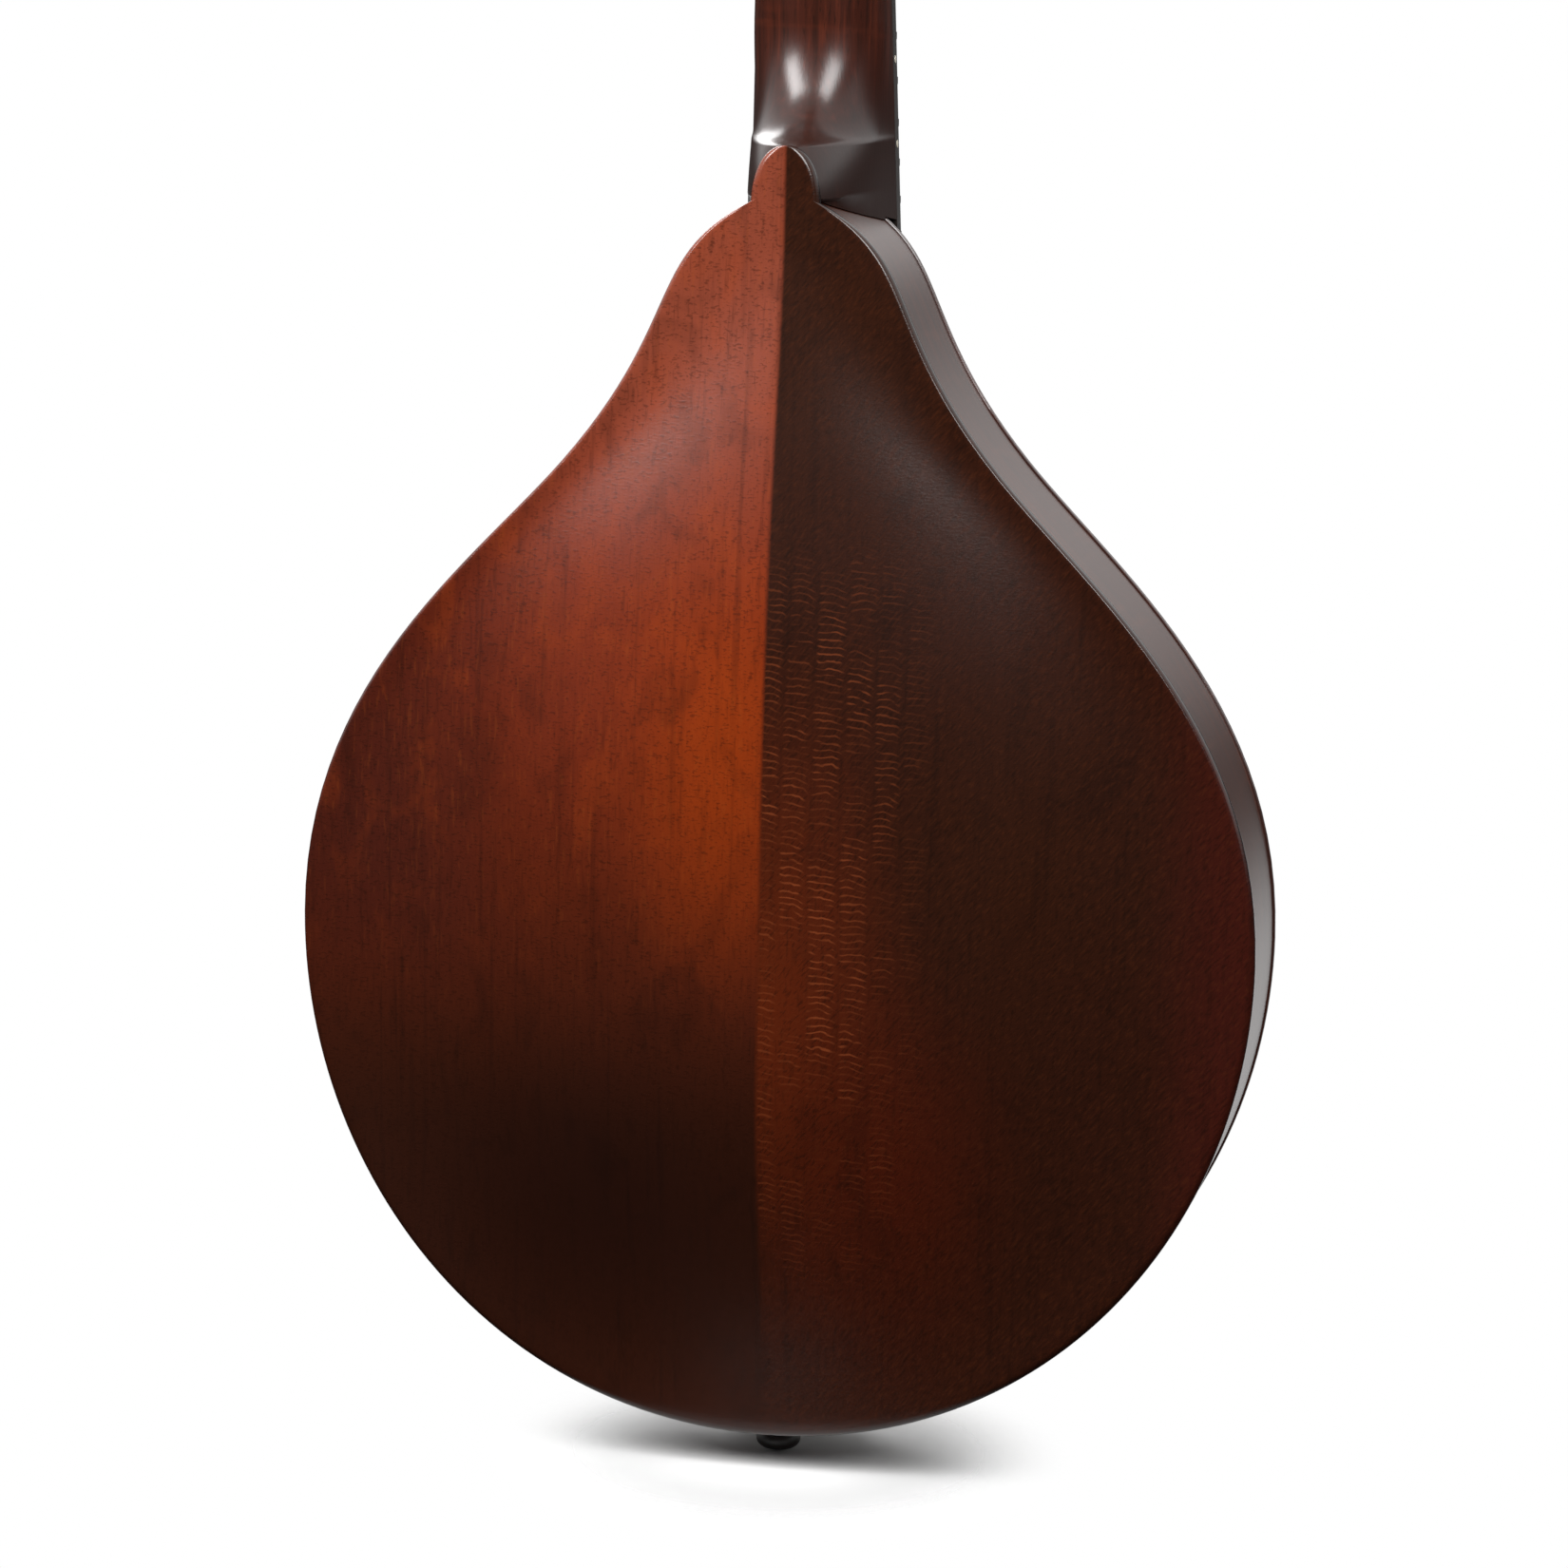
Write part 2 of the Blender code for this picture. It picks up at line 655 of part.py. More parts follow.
def build_end_pin():
    """Turned strap pin: shank through the rib into the tail block, and a domed head."""
    head = PIN_HEAD_LENGTH
    waist = PIN_SHANK_RADIUS + (PIN_HEAD_RADIUS - PIN_SHANK_RADIUS) * 0.2
    profile = [
        (0.0, PIN_PROUD + OVERHANG + PIN_DEPTH),
        (PIN_SHANK_RADIUS * 0.85, PIN_PROUD + OVERHANG + PIN_DEPTH),
        (PIN_SHANK_RADIUS, PIN_PROUD + OVERHANG),
        (PIN_SHANK_RADIUS, PIN_PROUD - FIT),
        (waist, head),
        (PIN_HEAD_RADIUS * 0.9, head * 0.75),
        (PIN_HEAD_RADIUS, head * 0.56),
        (PIN_HEAD_RADIUS * 0.94, head * 0.30),
        (PIN_HEAD_RADIUS * 0.80, head * 0.11),
        (PIN_FACE_RADIUS, 0.0),
        (0.0, 0.0),
    ]
    return smooth(turned("end_pin", profile, 20, EBONY))


# Neck

def glue_y(z):
    """Depth of the neck's flat front face, under the fingerboard, at a body height."""
    return GLUE_PLANE_Y + (z - BODY_LENGTH) * math.tan(NECK_ANGLE)


def fret_place(number):
    """Distance of a fret along the neck from the body's edge; number 0 is the nut's front."""
    return NUT_TO_BODY - SCALE_LENGTH * (1 - 2 ** (-number / 12))


def board_end():
    """Where the fingerboard ends over the top, a margin past its last fret."""
    return fret_place(FRET_COUNT) - FINGERBOARD_END_MARGIN


def board_half_width(along):
    """Half width of the fingerboard at a distance along the neck from the body's edge."""
    share = along / NUT_TO_BODY
    return BODY_JOINT_HALF_WIDTH + (NUT_HALF_WIDTH - BODY_JOINT_HALF_WIDTH) * share


def section(width, depth, power, flat, fullness=1.0):
    """Half round section of the neck: front corners, then round the back; (x, y) pairs."""
    last = NECK_POINTS - 1
    reach = math.pi / 2 * (1.0 - (1.0 - fullness) / NECK_POINTS)
    side = []
    for i in range(NECK_POINTS):
        angle = reach * i / last
        side.append((flat + (width - flat) * max(math.cos(angle), 0.0) ** (2 / power),
                     depth * math.sin(angle) ** (2 / power)))
    return side + [(0.0, depth)] + [(-x, y) for x, y in reversed(side)]


def heel_section(z, depth, cap, tip):
    """Section of the neck at a height where the heel flows into the shaft, in the body frame.

    The sides run nearly straight to the cap and are rounded off over the last stretch of the depth.
    """
    reach = INNER_HALF_DEPTH - glue_y(z)
    width = board_half_width(z - BODY_LENGTH)
    rise = min(max((z - tip) / HEEL_COVE, 0.0), 1.0)
    blend = rise * rise * (3 - 2 * rise)
    over = HEEL_ROUND + (depth - HEEL_ROUND) * blend
    kept = 0.0 if z >= tip else width_at(cap, max(z, SHOULDER_AT)) / cap[0][0]
    ring = []
    for across, y in section(1.0, depth, HEEL_SECTION_POWER, 0.0, 1.0 - rise):
        side = width - (width - cap[0][0]) * (1.0 - blend) * (y / reach) ** HEEL_SIDE_POWER
        near = 1.0 - min((depth - y) / over, 1.0)
        closing = max(1.0 - near ** SHAFT_SECTION_POWER, 0.0) ** (1.0 / SHAFT_SECTION_POWER)
        half = side * (kept + (1.0 - kept) * closing)
        ring.append((math.copysign(half, across) if across else 0.0, y + glue_y(z), z))
    return ring


def neck_sections():
    """Sections from the foot of the heel up the shaft, in the body frame."""
    cap = [(x - HEEL_CAP_INSET, z) for x, z in button_side()]
    sections = []
    foot = BODY_LENGTH - TENON_LENGTH
    tip = BUTTON_TIP_AT - HEEL_CAP_INSET
    heel = [foot, SHOULDER_AT - HEEL_ROOT_LENGTH, SHOULDER_AT]
    heel += [SHOULDER_AT + (tip - SHOULDER_AT) * s for s in (0.35, 0.62, 0.82, 0.94, 0.99)]
    for z in heel:
        sections.append(heel_section(z, INNER_HALF_DEPTH - glue_y(z), cap, tip))
    for step in range(COVE_STEPS + 1):
        angle = math.radians(8 + 82 * step / COVE_STEPS)
        z = tip + HEEL_COVE * (1 - math.cos(angle))
        reach = INNER_HALF_DEPTH - glue_y(z)
        depth = reach - (reach - NECK_DEPTH_AT_HEEL) * math.sin(angle)
        sections.append(heel_section(z, depth, cap, tip))
    start = tip + HEEL_COVE
    end = BODY_LENGTH + NUT_TO_BODY * math.cos(NECK_ANGLE) - HEAD_BEND_LENGTH
    for share in (0.2, 0.5, 0.8, 1.0):
        z = start + (end - start) * share
        depth = NECK_DEPTH_AT_HEEL + (NECK_DEPTH_AT_NUT - NECK_DEPTH_AT_HEEL) * share
        half = board_half_width((z - BODY_LENGTH) / math.cos(NECK_ANGLE))
        ring = section(half, depth, SHAFT_SECTION_POWER, 0.0, 0.0)
        sections.append([(x, y + glue_y(z), z) for x, y in ring])
    return sections


def head_half_width(along):
    """Half width of the headstock at a distance above the nut."""
    crown_at = HEAD_LENGTH - HEAD_CROWN
    if along <= HEAD_FLARE_END:
        share = max(along - HEAD_FLARE_START, 0.0) / (HEAD_FLARE_END - HEAD_FLARE_START)
        ease = share * share * (3 - 2 * share)
        return NUT_HALF_WIDTH + (HEAD_LOW_HALF_WIDTH - NUT_HALF_WIDTH) * ease
    if along <= crown_at:
        share = (along - HEAD_FLARE_END) / (crown_at - HEAD_FLARE_END)
        return HEAD_LOW_HALF_WIDTH + (HEAD_TOP_HALF_WIDTH - HEAD_LOW_HALF_WIDTH) * share
    rise = min((along - crown_at) / HEAD_CROWN, 1.0)
    return HEAD_TOP_HALF_WIDTH * math.sqrt(max(1.0 - rise ** 2, 0.0))


def head_stations():
    flare = [HEAD_FLARE_START + (HEAD_FLARE_END - HEAD_FLARE_START) * s
             for s in (0.0, 0.2, 0.4, 0.6, 0.8, 1.0)]
    crown = [HEAD_LENGTH - HEAD_CROWN * (1 - math.sin(math.radians(a)))
             for a in (0, 18, 36, 54, 68, 80)]
    return flare + crown


def head_sections():
    """Sections of the headstock, in the head frame, moved to the body frame."""
    to_body = NECK.matrix_basis @ HEAD.matrix_basis
    half_turn = Matrix.Rotation(HEAD_ANGLE / 2, 4, 'X')
    ring = section(NUT_HALF_WIDTH, NECK_DEPTH_AT_NUT, 2.2, 0.0, 0.0)
    sections = [[tuple(to_body @ half_turn @ Vector((x, y, 0.0))) for x, y in ring]]
    for along in head_stations():
        share = min((along - HEAD_FLARE_START) / (HEAD_BACK_FLAT_AT - HEAD_FLARE_START), 1.0)
        depth = NECK_DEPTH_AT_NUT + (HEAD_THICKNESS - NECK_DEPTH_AT_NUT) * share
        half = head_half_width(along)
        power = SHAFT_SECTION_POWER + (HEAD_SECTION_POWER - SHAFT_SECTION_POWER) * share
        ring = section(half, depth, power, max(half - HEAD_EDGE_ROUND, 0.0) * share, share)
        sections.append([tuple(to_body @ Vector((x, y, along))) for x, y in ring])
    return sections


def build_neck():
    """Neck, heel and headstock in one piece, seated on the rim with a dovetail tenon."""
    neck = loft("neck", neck_sections() + head_sections(), MAPLE_NECK, BODY)
    reach = BODY_DEPTH
    rim_cut = slab("heel_foot_cut", mirrored(inset(rim_outline(), OVERHANG - FIT)),
                   -INNER_HALF_DEPTH - FIT, reach, BODY, CUTTERS)
    edge_cut = slab("heel_front_cut", mirrored(inset(rim_outline(), -FIT)),
                    -2 * reach, -INNER_HALF_DEPTH, BODY, CUTTERS)
    for cutter in (rim_cut, edge_cut):
        boolean(neck, as_cutter(cutter), 'DIFFERENCE')
    root = BODY_LENGTH + OVERHANG
    foot = BODY_LENGTH - TENON_LENGTH
    tenon = slab("tenon_shape",
                 mirrored([(0.0, foot), (tenon_half_width(foot), foot),
                           (tenon_half_width(root), root), (0.0, root)]),
                 -INNER_HALF_DEPTH + FIT, INNER_HALF_DEPTH - FIT, BODY, CUTTERS)
    boolean(neck, as_cutter(tenon), 'UNION')
    cut_head(neck)
    cut_truss_slot(neck)
    return smooth(neck)


def post_places():
    """Side, number and (x, z) of each string post in the head frame."""
    for side in (-1, 1):
        for number in range(4):
            yield side, number, side * POST_HALF_SPREAD, FIRST_POST_AT + number * POST_PITCH


def cut_head(neck):
    hole = POST_RADIUS + POST_HOLE_CLEARANCE
    reach = HEAD_THICKNESS
    specs = [(hole, (x, -reach, z), (x, 2 * reach, z)) for _, _, x, z in post_places()]
    drill = as_cutter(cylinders("post_hole_cut", specs, HEAD, CUTTERS, sides=10))
    boolean(neck, drill, 'DIFFERENCE')
    front = -FIT - HEAD_PLATE_THICKNESS
    stations = [0.0] + head_stations()
    points = [(0.0, 0.0)] + [(head_half_width(s), s) for s in stations] + [(0.0, stations[-1])]
    face = slab("head_plate", mirrored(points), front, -FIT, HEAD)
    face.data.materials.append(EBONY_FACE)
    boolean(face, drill, 'DIFFERENCE')


def cut_truss_slot(neck):
    """Slot for the truss rod under the fingerboard, and its pocket above the nut."""
    end = NUT_TO_BODY + NUT_LENGTH + 2 * FIT
    pocket = TRUSS_NUT_LENGTH + 2 * TRUSS_NUT_RADIUS
    slot_length = end - TRUSS_FOOT + 2 * FIT
    slot_depth = TRUSS_ROD_AT + TRUSS_ROD_RADIUS + FIT
    slot = box("truss_slot_cut", (2 * TRUSS_SLOT_HALF_WIDTH, 2 * slot_depth, slot_length),
               (0, 0, TRUSS_FOOT + slot_length / 2), None, NECK, CUTTERS)
    nut_room = TRUSS_NUT_RADIUS + 2 * FIT
    recess = box("truss_pocket_cut", (2 * nut_room, 4 * nut_room + TRUSS_ROD_AT, pocket),
                 (0, (TRUSS_ROD_AT - 2 * nut_room) / 2, end + pocket / 2), None, NECK, CUTTERS)
    for cutter in (slot, recess):
        boolean(neck, as_cutter(cutter), 'DIFFERENCE')
    boolean(bpy.data.objects["head_plate"], recess, 'DIFFERENCE')
    profile = [(0.0, end + TRUSS_NUT_LENGTH), (TRUSS_NUT_RADIUS, end + TRUSS_NUT_LENGTH),
               (TRUSS_NUT_RADIUS, end + FIT), (TRUSS_ROD_RADIUS, end + FIT),
               (TRUSS_ROD_RADIUS, TRUSS_FOOT + FIT), (0.0, TRUSS_FOOT + FIT)]
    rod = turned("truss_rod", profile, 8, STEEL, NECK)
    rod.location = (0, TRUSS_ROD_AT, 0)


def build_fingerboard():
    """Fingerboard with its frets, lofted along the neck; each fret is a low rounded ridge."""
    rows = [(board_end(), 0.0)]
    for number in range(FRET_COUNT, 0, -1):
        at = fret_place(number)
        half = FRET_WIDTH / 2
        rows += [(at - half, 0.0), (at, FRET_HEIGHT), (at + half, 0.0)]
    rows.append((NUT_TO_BODY, 0.0))
    sections = []
    for along, bump in rows:
        half = board_half_width(along)
        face = -FIT - FINGERBOARD_THICKNESS - bump
        sections.append([(half, -FIT, along), (-half, -FIT, along),
                         (-half, face, along), (half, face, along)])
    return loft("fingerboard", sections, EBONY, NECK)


def build_riser():
    """Wedge that carries the fingerboard's free end over the top."""
    end = board_end()
    sections = []
    for along in (end + RISER_INSET, end / 2, -2 * FIT):
        half = board_half_width(along) - RISER_INSET
        sections.append([(half, 0.0, along), (-half, 0.0, along),
                         (-half, TOP_ARCH, along), (half, TOP_ARCH, along)])
    riser = loft("fingerboard_riser", sections, MAPLE_NECK, NECK)
    keep = slab("riser_edge_keep", mirrored(inset(rim_outline(), 2 * FIT)),
                -2 * BODY_DEPTH, HALF_DEPTH, BODY, CUTTERS)
    boolean(riser, as_cutter(keep), 'INTERSECT')
    boolean(riser, top_cutter("riser_foot_cut", FIT, TOP_ARCH), 'DIFFERENCE')
    return riser


def build_nut():
    height = FINGERBOARD_THICKNESS + NUT_RISE
    nut = box("nut", (2 * NUT_HALF_WIDTH, height, NUT_LENGTH),
              (0, -FIT - height / 2, NUT_TO_BODY + FIT + NUT_LENGTH / 2), BONE, NECK)
    return bevel(nut, NUT_EDGE_ROUND)


def build_truss_cover():
    """Small bell-shaped cover over the truss rod pocket."""
    base = FIT
    points = [(0.0, base), (COVER_HALF_WIDTH, base), (COVER_HALF_WIDTH * 0.92, COVER_LENGTH * 0.22),
              (COVER_HALF_WIDTH * 0.62, COVER_LENGTH * 0.48), (COVER_HALF_WIDTH * 0.5, COVER_LENGTH * 0.72),
              (COVER_HALF_WIDTH * 0.3, COVER_LENGTH * 0.93), (0.0, COVER_LENGTH)]
    back = -2 * FIT - HEAD_PLATE_THICKNESS
    cover = slab("truss_rod_cover", mirrored(points), back - COVER_THICKNESS, back, HEAD)
    cover.data.materials.append(EBONY_FACE)
    return cover


# Tuning machines

def gear_radius():
    return GEAR_TEETH * WORM_PITCH / (2 * math.pi)


def centre_distance():
    return gear_radius() + WORM_PITCH_RADIUS


def worm_root():
    return centre_distance() - (gear_radius() + TOOTH_ADDENDUM) - TOOTH_CLEARANCE


def worm_height():
    """Height of the worm's axis above the head's back face."""
    crest = WORM_PITCH_RADIUS + TOOTH_ADDENDUM
    return FIT + TUNER_PLATE_THICKNESS + max(crest, GEAR_WIDTH / 2) + 2 * FIT


def gear_object(name, side):
    """Helical gear about local Y, with a tooth space facing the worm at local -Z."""
    tip = gear_radius() + TOOTH_ADDENDUM
    root = centre_distance() - (WORM_PITCH_RADIUS + TOOTH_ADDENDUM) - TOOTH_CLEARANCE
    tooth = 2 * math.pi / GEAR_TEETH
    foot, head = tooth * TOOTH_SHARE * 0.65, tooth * TOOTH_SHARE * 0.35
    lead = WORM_PITCH / (2 * math.pi * WORM_PITCH_RADIUS)
    sections = []
    for level in (-0.5, 0.5):
        y = level * GEAR_WIDTH
        twist = -side * lead * y / gear_radius()
        ring = []
        for number in range(GEAR_TEETH):
            middle = tooth * (number + 0.5) + twist
            for angle, radius in ((-foot, root), (-head, tip), (head, tip), (foot, root)):
                turn = middle + angle
                ring.append((-radius * math.sin(turn), y, -radius * math.cos(turn)))
        sections.append(ring)
    return loft(name, sections, None, None, CUTTERS)


def worm_object(name, side, mat):
    """Worm and its shaft about local X: a thread that follows its helix, then plain journals.

    Every lengthwise line starts one step further along the helix, so that after a full turn a
    thread meets the next one.
    """
    around = 8
    crest = WORM_PITCH_RADIUS + TOOTH_ADDENDUM
    root = worm_root()
    half = WORM_HALF_LENGTH
    foot = WORM_PITCH * THREAD_SHARE
    turns = math.ceil(half / WORM_PITCH) + 1
    before = [(-half - 5 * FIT - LUG_THICKNESS, root)]
    after = [(KNOB_START + KNOB_LENGTH * 0.5, root)]
    profile = ((-foot, root), (0.0, crest), (foot, root))
    verts = []
    for j in range(around):
        angle = 2 * math.pi * j / around
        thread = []
        for number in range(-turns, turns):
            middle = WORM_PITCH * (number + j / around)
            for along, radius in profile:
                at = middle + along
                thread.append((at, radius) if abs(at) < half else (math.copysign(half, at), root))
        for at, radius in before + thread + after:
            verts.append((side * at, radius * math.sin(angle), radius * math.cos(angle)))
    count = len(before) + len(thread) + len(after)
    first, last = len(before), len(before) + len(thread) - 1

    def partner(i, j):
        """Index of the point that meets point i of line j on the next line."""
        if j < around - 1:
            return (j + 1) * count + i
        return min(i + len(profile), last) if first <= i <= last else i

    faces = [[j * count for j in range(around)], [j * count + count - 1 for j in range(around)]]
    for j in range(around):
        for i in range(count - 1):
            corners = [j * count + i, j * count + i + 1, partner(i + 1, j), partner(i, j)]
            corners = list(dict.fromkeys(corners))
            if len(corners) > 2:
                faces.append(corners)
    return mesh_object(name, verts, faces, mat)


def build_tuner_plate(side, name):
    """Strip with four post holes and, for each worm, two bearing lugs."""
    low = FIRST_POST_AT - centre_distance() - TUNER_PLATE_MARGIN
    high = FIRST_POST_AT + 3 * POST_PITCH + TUNER_PLATE_MARGIN
    front, back = HEAD_THICKNESS + FIT, HEAD_THICKNESS + FIT + TUNER_PLATE_THICKNESS
    x = side * POST_HALF_SPREAD
    half = TUNER_PLATE_HALF_WIDTH
    points = [(x - half, low + half / 2), (x - half / 2, low), (x + half / 2, low),
              (x + half, low + half / 2), (x + half, high - half / 2), (x + half / 2, high),
              (x - half / 2, high), (x - half, high - half / 2)]
    strip_plate = slab(name, points, front, back, HEAD)
    strip_plate.data.materials.append(NICKEL)
    inner = WORM_HALF_LENGTH + 2 * FIT
    lug_height = worm_height() + worm_root() + JOURNAL_CLEARANCE + LUG_ROOF
    drill = []
    for _, number, _, z in [p for p in post_places() if p[0] == side]:
        worm_z = z - centre_distance()
        for out in (-1, 1):
            centre_x = x + out * (inner + LUG_THICKNESS / 2)
            lug = box(name + "_lug_shape", (LUG_THICKNESS, lug_height - FIT / 2, LUG_WIDTH),
                      (centre_x, HEAD_THICKNESS + (lug_height + 2 * FIT) / 2, worm_z),
                      None, HEAD, CUTTERS)
            boolean(strip_plate, as_cutter(lug), 'UNION')
        reach = inner + 2 * LUG_THICKNESS
        drill.append((worm_root() + JOURNAL_CLEARANCE,
                      (x - reach, HEAD_THICKNESS + worm_height(), worm_z),
                      (x + reach, HEAD_THICKNESS + worm_height(), worm_z)))
        drill.append((POST_RADIUS + POST_HOLE_CLEARANCE, (x, front - FIT, z), (x, back + FIT / 2, z)))
    cut = cylinders(name + "_drill_cut", drill, HEAD, CUTTERS, sides=8)
    boolean(strip_plate, as_cutter(cut), 'DIFFERENCE')
    return strip_plate


def post_mesh(side):
    """String post with its gear, about local Y; origin on the head's back face."""
    gear = gear_object("gear_shape", side)
    front = -(HEAD_THICKNESS + FIT + HEAD_PLATE_THICKNESS)
    top = worm_height() + GEAR_WIDTH / 2 + POST_TIP_CHAMFER
    r = POST_RADIUS
    hole = front - STRING_HOLE_PROUD
    profile = [(0.0, front - POST_PROUD), (r * 0.7, front - POST_PROUD),
               (r, front - POST_PROUD + r * 0.4), (r, hole - r), (r * POST_WAIST, hole - r * 0.4),
               (r * POST_WAIST, hole + r * 0.6), (r, hole + r), (r, top - POST_TIP_CHAMFER),
               (r * 0.6, top), (0.0, top)]
    flipped = [(radius, -height) for radius, height in profile]
    post = turned("post_shape", flipped, 8, NICKEL, None, CUTTERS)
    post.rotation_euler = (math.pi / 2, 0, 0)
    post = bake(post)
    post.data.transform(post.matrix_basis)
    post.matrix_basis = Matrix.Identity(4)
    gear.location = (0, worm_height(), 0)
    boolean(post, as_cutter(gear), 'UNION')
    post = as_cutter(bake(post))
    post.data.materials.clear()
    post.data.materials.append(NICKEL)
    return smooth(post).data


def knob_profile():
    bore = worm_root() + FIT
    length, r = KNOB_LENGTH, KNOB_RADIUS
    return [(0.0, length), (r * 0.45, length * 0.97), (r * 0.85, length * 0.80), (r, length * 0.55),
            (r * 0.86, length * 0.28), (r * 0.45, length * 0.10), (r * 0.36, 0.0), (bore, 0.0),
            (bore, length * 0.5 + FIT), (0.0, length * 0.5 + FIT)]


def build_tuners():
    """Eight machines: a worm shaft with its knob turns a geared string post."""
    post_data = {side: post_mesh(side) for side in (-1, 1)}
    build_tuner_plate(-1, "tuner_plate_bass")
    build_tuner_plate(1, "tuner_plate_treble")
    worms, knobs = {}, {}
    for side, number, x, z in post_places():
        tag = ("bass_" if side < 0 else "treble_") + str(number + 1)
        post = bpy.data.objects.new("string_post_" + tag, post_data[side])
        link(post, PARTS, NICKEL, HEAD)
        post.location = (x, HEAD_THICKNESS, z)
        spindle = empty("worm_axis_" + tag, (x, HEAD_THICKNESS + worm_height(), z - centre_distance()),
                        (0, 0, 0), HEAD)
        if side not in worms:
            worms[side] = worm_object("worm_shaft_" + tag, side, STEEL)
            worm = worms[side]
        else:
            worm = link(bpy.data.objects.new("worm_shaft_" + tag, worms[side].data), PARTS, STEEL)
        worm.parent = spindle
        if side not in knobs:
            knob = turned("tuner_knob_" + tag, knob_profile(), 10, PEARL, spindle)
            knob.rotation_euler = (0, side * math.pi / 2, 0)
            knob.location = (side * KNOB_START, 0, 0)
            knob = bake(knob)
            knob.data.transform(knob.matrix_basis)
            knob.matrix_basis = Matrix.Identity(4)
            flatten_knob(knob.data, side)
            knobs[side] = knob
        else:
            knob = link(bpy.data.objects.new("tuner_knob_" + tag, knobs[side].data), PARTS, PEARL)
        knob.parent = spindle
        smooth(knob, 60)


def flatten_knob(mesh, side):
    """Press the round knob flat across its thickness, away from its bore."""
    bore = worm_root() + FIT
    for vert in mesh.vertices:
        radius = math.hypot(vert.co.y, vert.co.z)
        if radius > bore * 1.1:
            vert.co.y *= max(KNOB_FLATTEN, 1.6 * bore / radius)


# Bridge

def top_face(z):
    """Depth of the top's outer face on the centre line at a height."""
    return -HALF_DEPTH - spine_height(z, TOP_ARCH)


def saddle_z():
    return BODY_LENGTH + (NUT_TO_BODY - SCALE_LENGTH) * math.cos(NECK_ANGLE)


def string_y_at_bridge():
    """Depth of the strings' undersides over the saddle."""
    along = saddle_z() - BODY_LENGTH
    board = FINGERBOARD_THICKNESS + FIT + FRET_HEIGHT
    return GLUE_PLANE_Y + along * math.tan(NECK_ANGLE) - board / math.cos(NECK_ANGLE) - STRING_RISE_AT_BRIDGE


def bridge_levels():
    """Foot top, wheel bottom, wheel top, saddle bottom and saddle top, as depths towards -Y."""
    z = saddle_z()
    foot = top_face(z) - FIT - BRIDGE_FOOT_HEIGHT
    wheel = foot - WHEEL_LIFT
    wheel_top = wheel - WHEEL_THICKNESS
    return foot, wheel, wheel_top, wheel_top - FIT, string_y_at_bridge() + FIT


def build_bridge():
    """Two-piece adjustable bridge: foot with two screws, thumbwheels and saddle."""
    foot, wheel, wheel_top, saddle_low, saddle_top = bridge_levels()
    z = saddle_z()
    half = BRIDGE_HALF_LENGTH
    deep = top_face(z) + TOP_ARCH * 0.8
    toe = foot + TOP_ARCH * TOE_DROP
    base = slab("bridge_base",
                mirrored([(0.0, foot), (half * 0.74, foot), (half, toe), (half, deep), (0.0, deep)]),
                z - BRIDGE_DEPTH / 2, z + BRIDGE_DEPTH / 2, BODY, axis="Z")
    base.data.materials.append(EBONY)
    screw_end = saddle_low - BRIDGE_SCREW_GRIP
    screws = cylinders("bridge_screw_shape",
                       [(BRIDGE_SCREW_RADIUS, (x, foot + BRIDGE_FOOT_HEIGHT / 2, z), (x, screw_end, z))
                        for x in (-BRIDGE_SCREW_SPREAD, BRIDGE_SCREW_SPREAD)], BODY, CUTTERS)
    boolean(base, as_cutter(screws), 'UNION')
    boolean(base, top_cutter("bridge_foot_cut", FIT, TOP_ARCH), 'DIFFERENCE')
    build_wheels(wheel, wheel_top, z)
    build_saddle(saddle_low, saddle_top, z)


def build_wheels(wheel, wheel_top, z):
    """Knurled thumbwheels on the bridge screws."""
    bore = BRIDGE_SCREW_RADIUS + FIT
    thick = wheel - wheel_top
    edge = thick * 0.15
    profile = [(bore, thick), (WHEEL_RADIUS - edge, thick), (WHEEL_RADIUS, thick - edge),
               (WHEEL_RADIUS, edge), (WHEEL_RADIUS - edge, 0.0), (bore, 0.0)]
    for side, hand in ((-1, "bass"), (1, "treble")):
        ring = turned("thumbwheel_" + hand, profile, 16, BRASS, BODY, closed=True)
        ring.rotation_euler = (math.pi / 2, 0, 0)
        ring.location = (side * BRIDGE_SCREW_SPREAD, wheel, z)


def build_saddle(low, top, z):
    """Saddle bar: thick at its foot, narrow where the strings cross, bored for the screws."""
    half = SADDLE_HALF_LENGTH
    shoulder = low + (top - low) * 0.45
    sections = []
    for x in (-half, -half * 0.93, half * 0.93, half):
        edge = (shoulder + top) / 2 if abs(x) == half else top
        sections.append([(x, low, z - SADDLE_DEPTH / 2), (x, low, z + SADDLE_DEPTH / 2),
                         (x, shoulder, z + SADDLE_DEPTH / 2), (x, edge, z + SADDLE_TOP_DEPTH / 2),
                         (x, edge, z - SADDLE_TOP_DEPTH / 2), (x, shoulder, z - SADDLE_DEPTH / 2)])
    saddle = loft("bridge_saddle", sections, EBONY, BODY)
    bore = BRIDGE_SCREW_RADIUS + SADDLE_BORE_CLEARANCE
    drill = cylinders("saddle_bore_cut",
                      [(bore, (x, low + SADDLE_DEPTH, z), (x, low - SADDLE_BORE_DEPTH, z))
                       for x in (-BRIDGE_SCREW_SPREAD, BRIDGE_SCREW_SPREAD)], BODY, CUTTERS)
    boolean(saddle, as_cutter(drill), 'DIFFERENCE')
    return saddle


# Tailpiece and strings

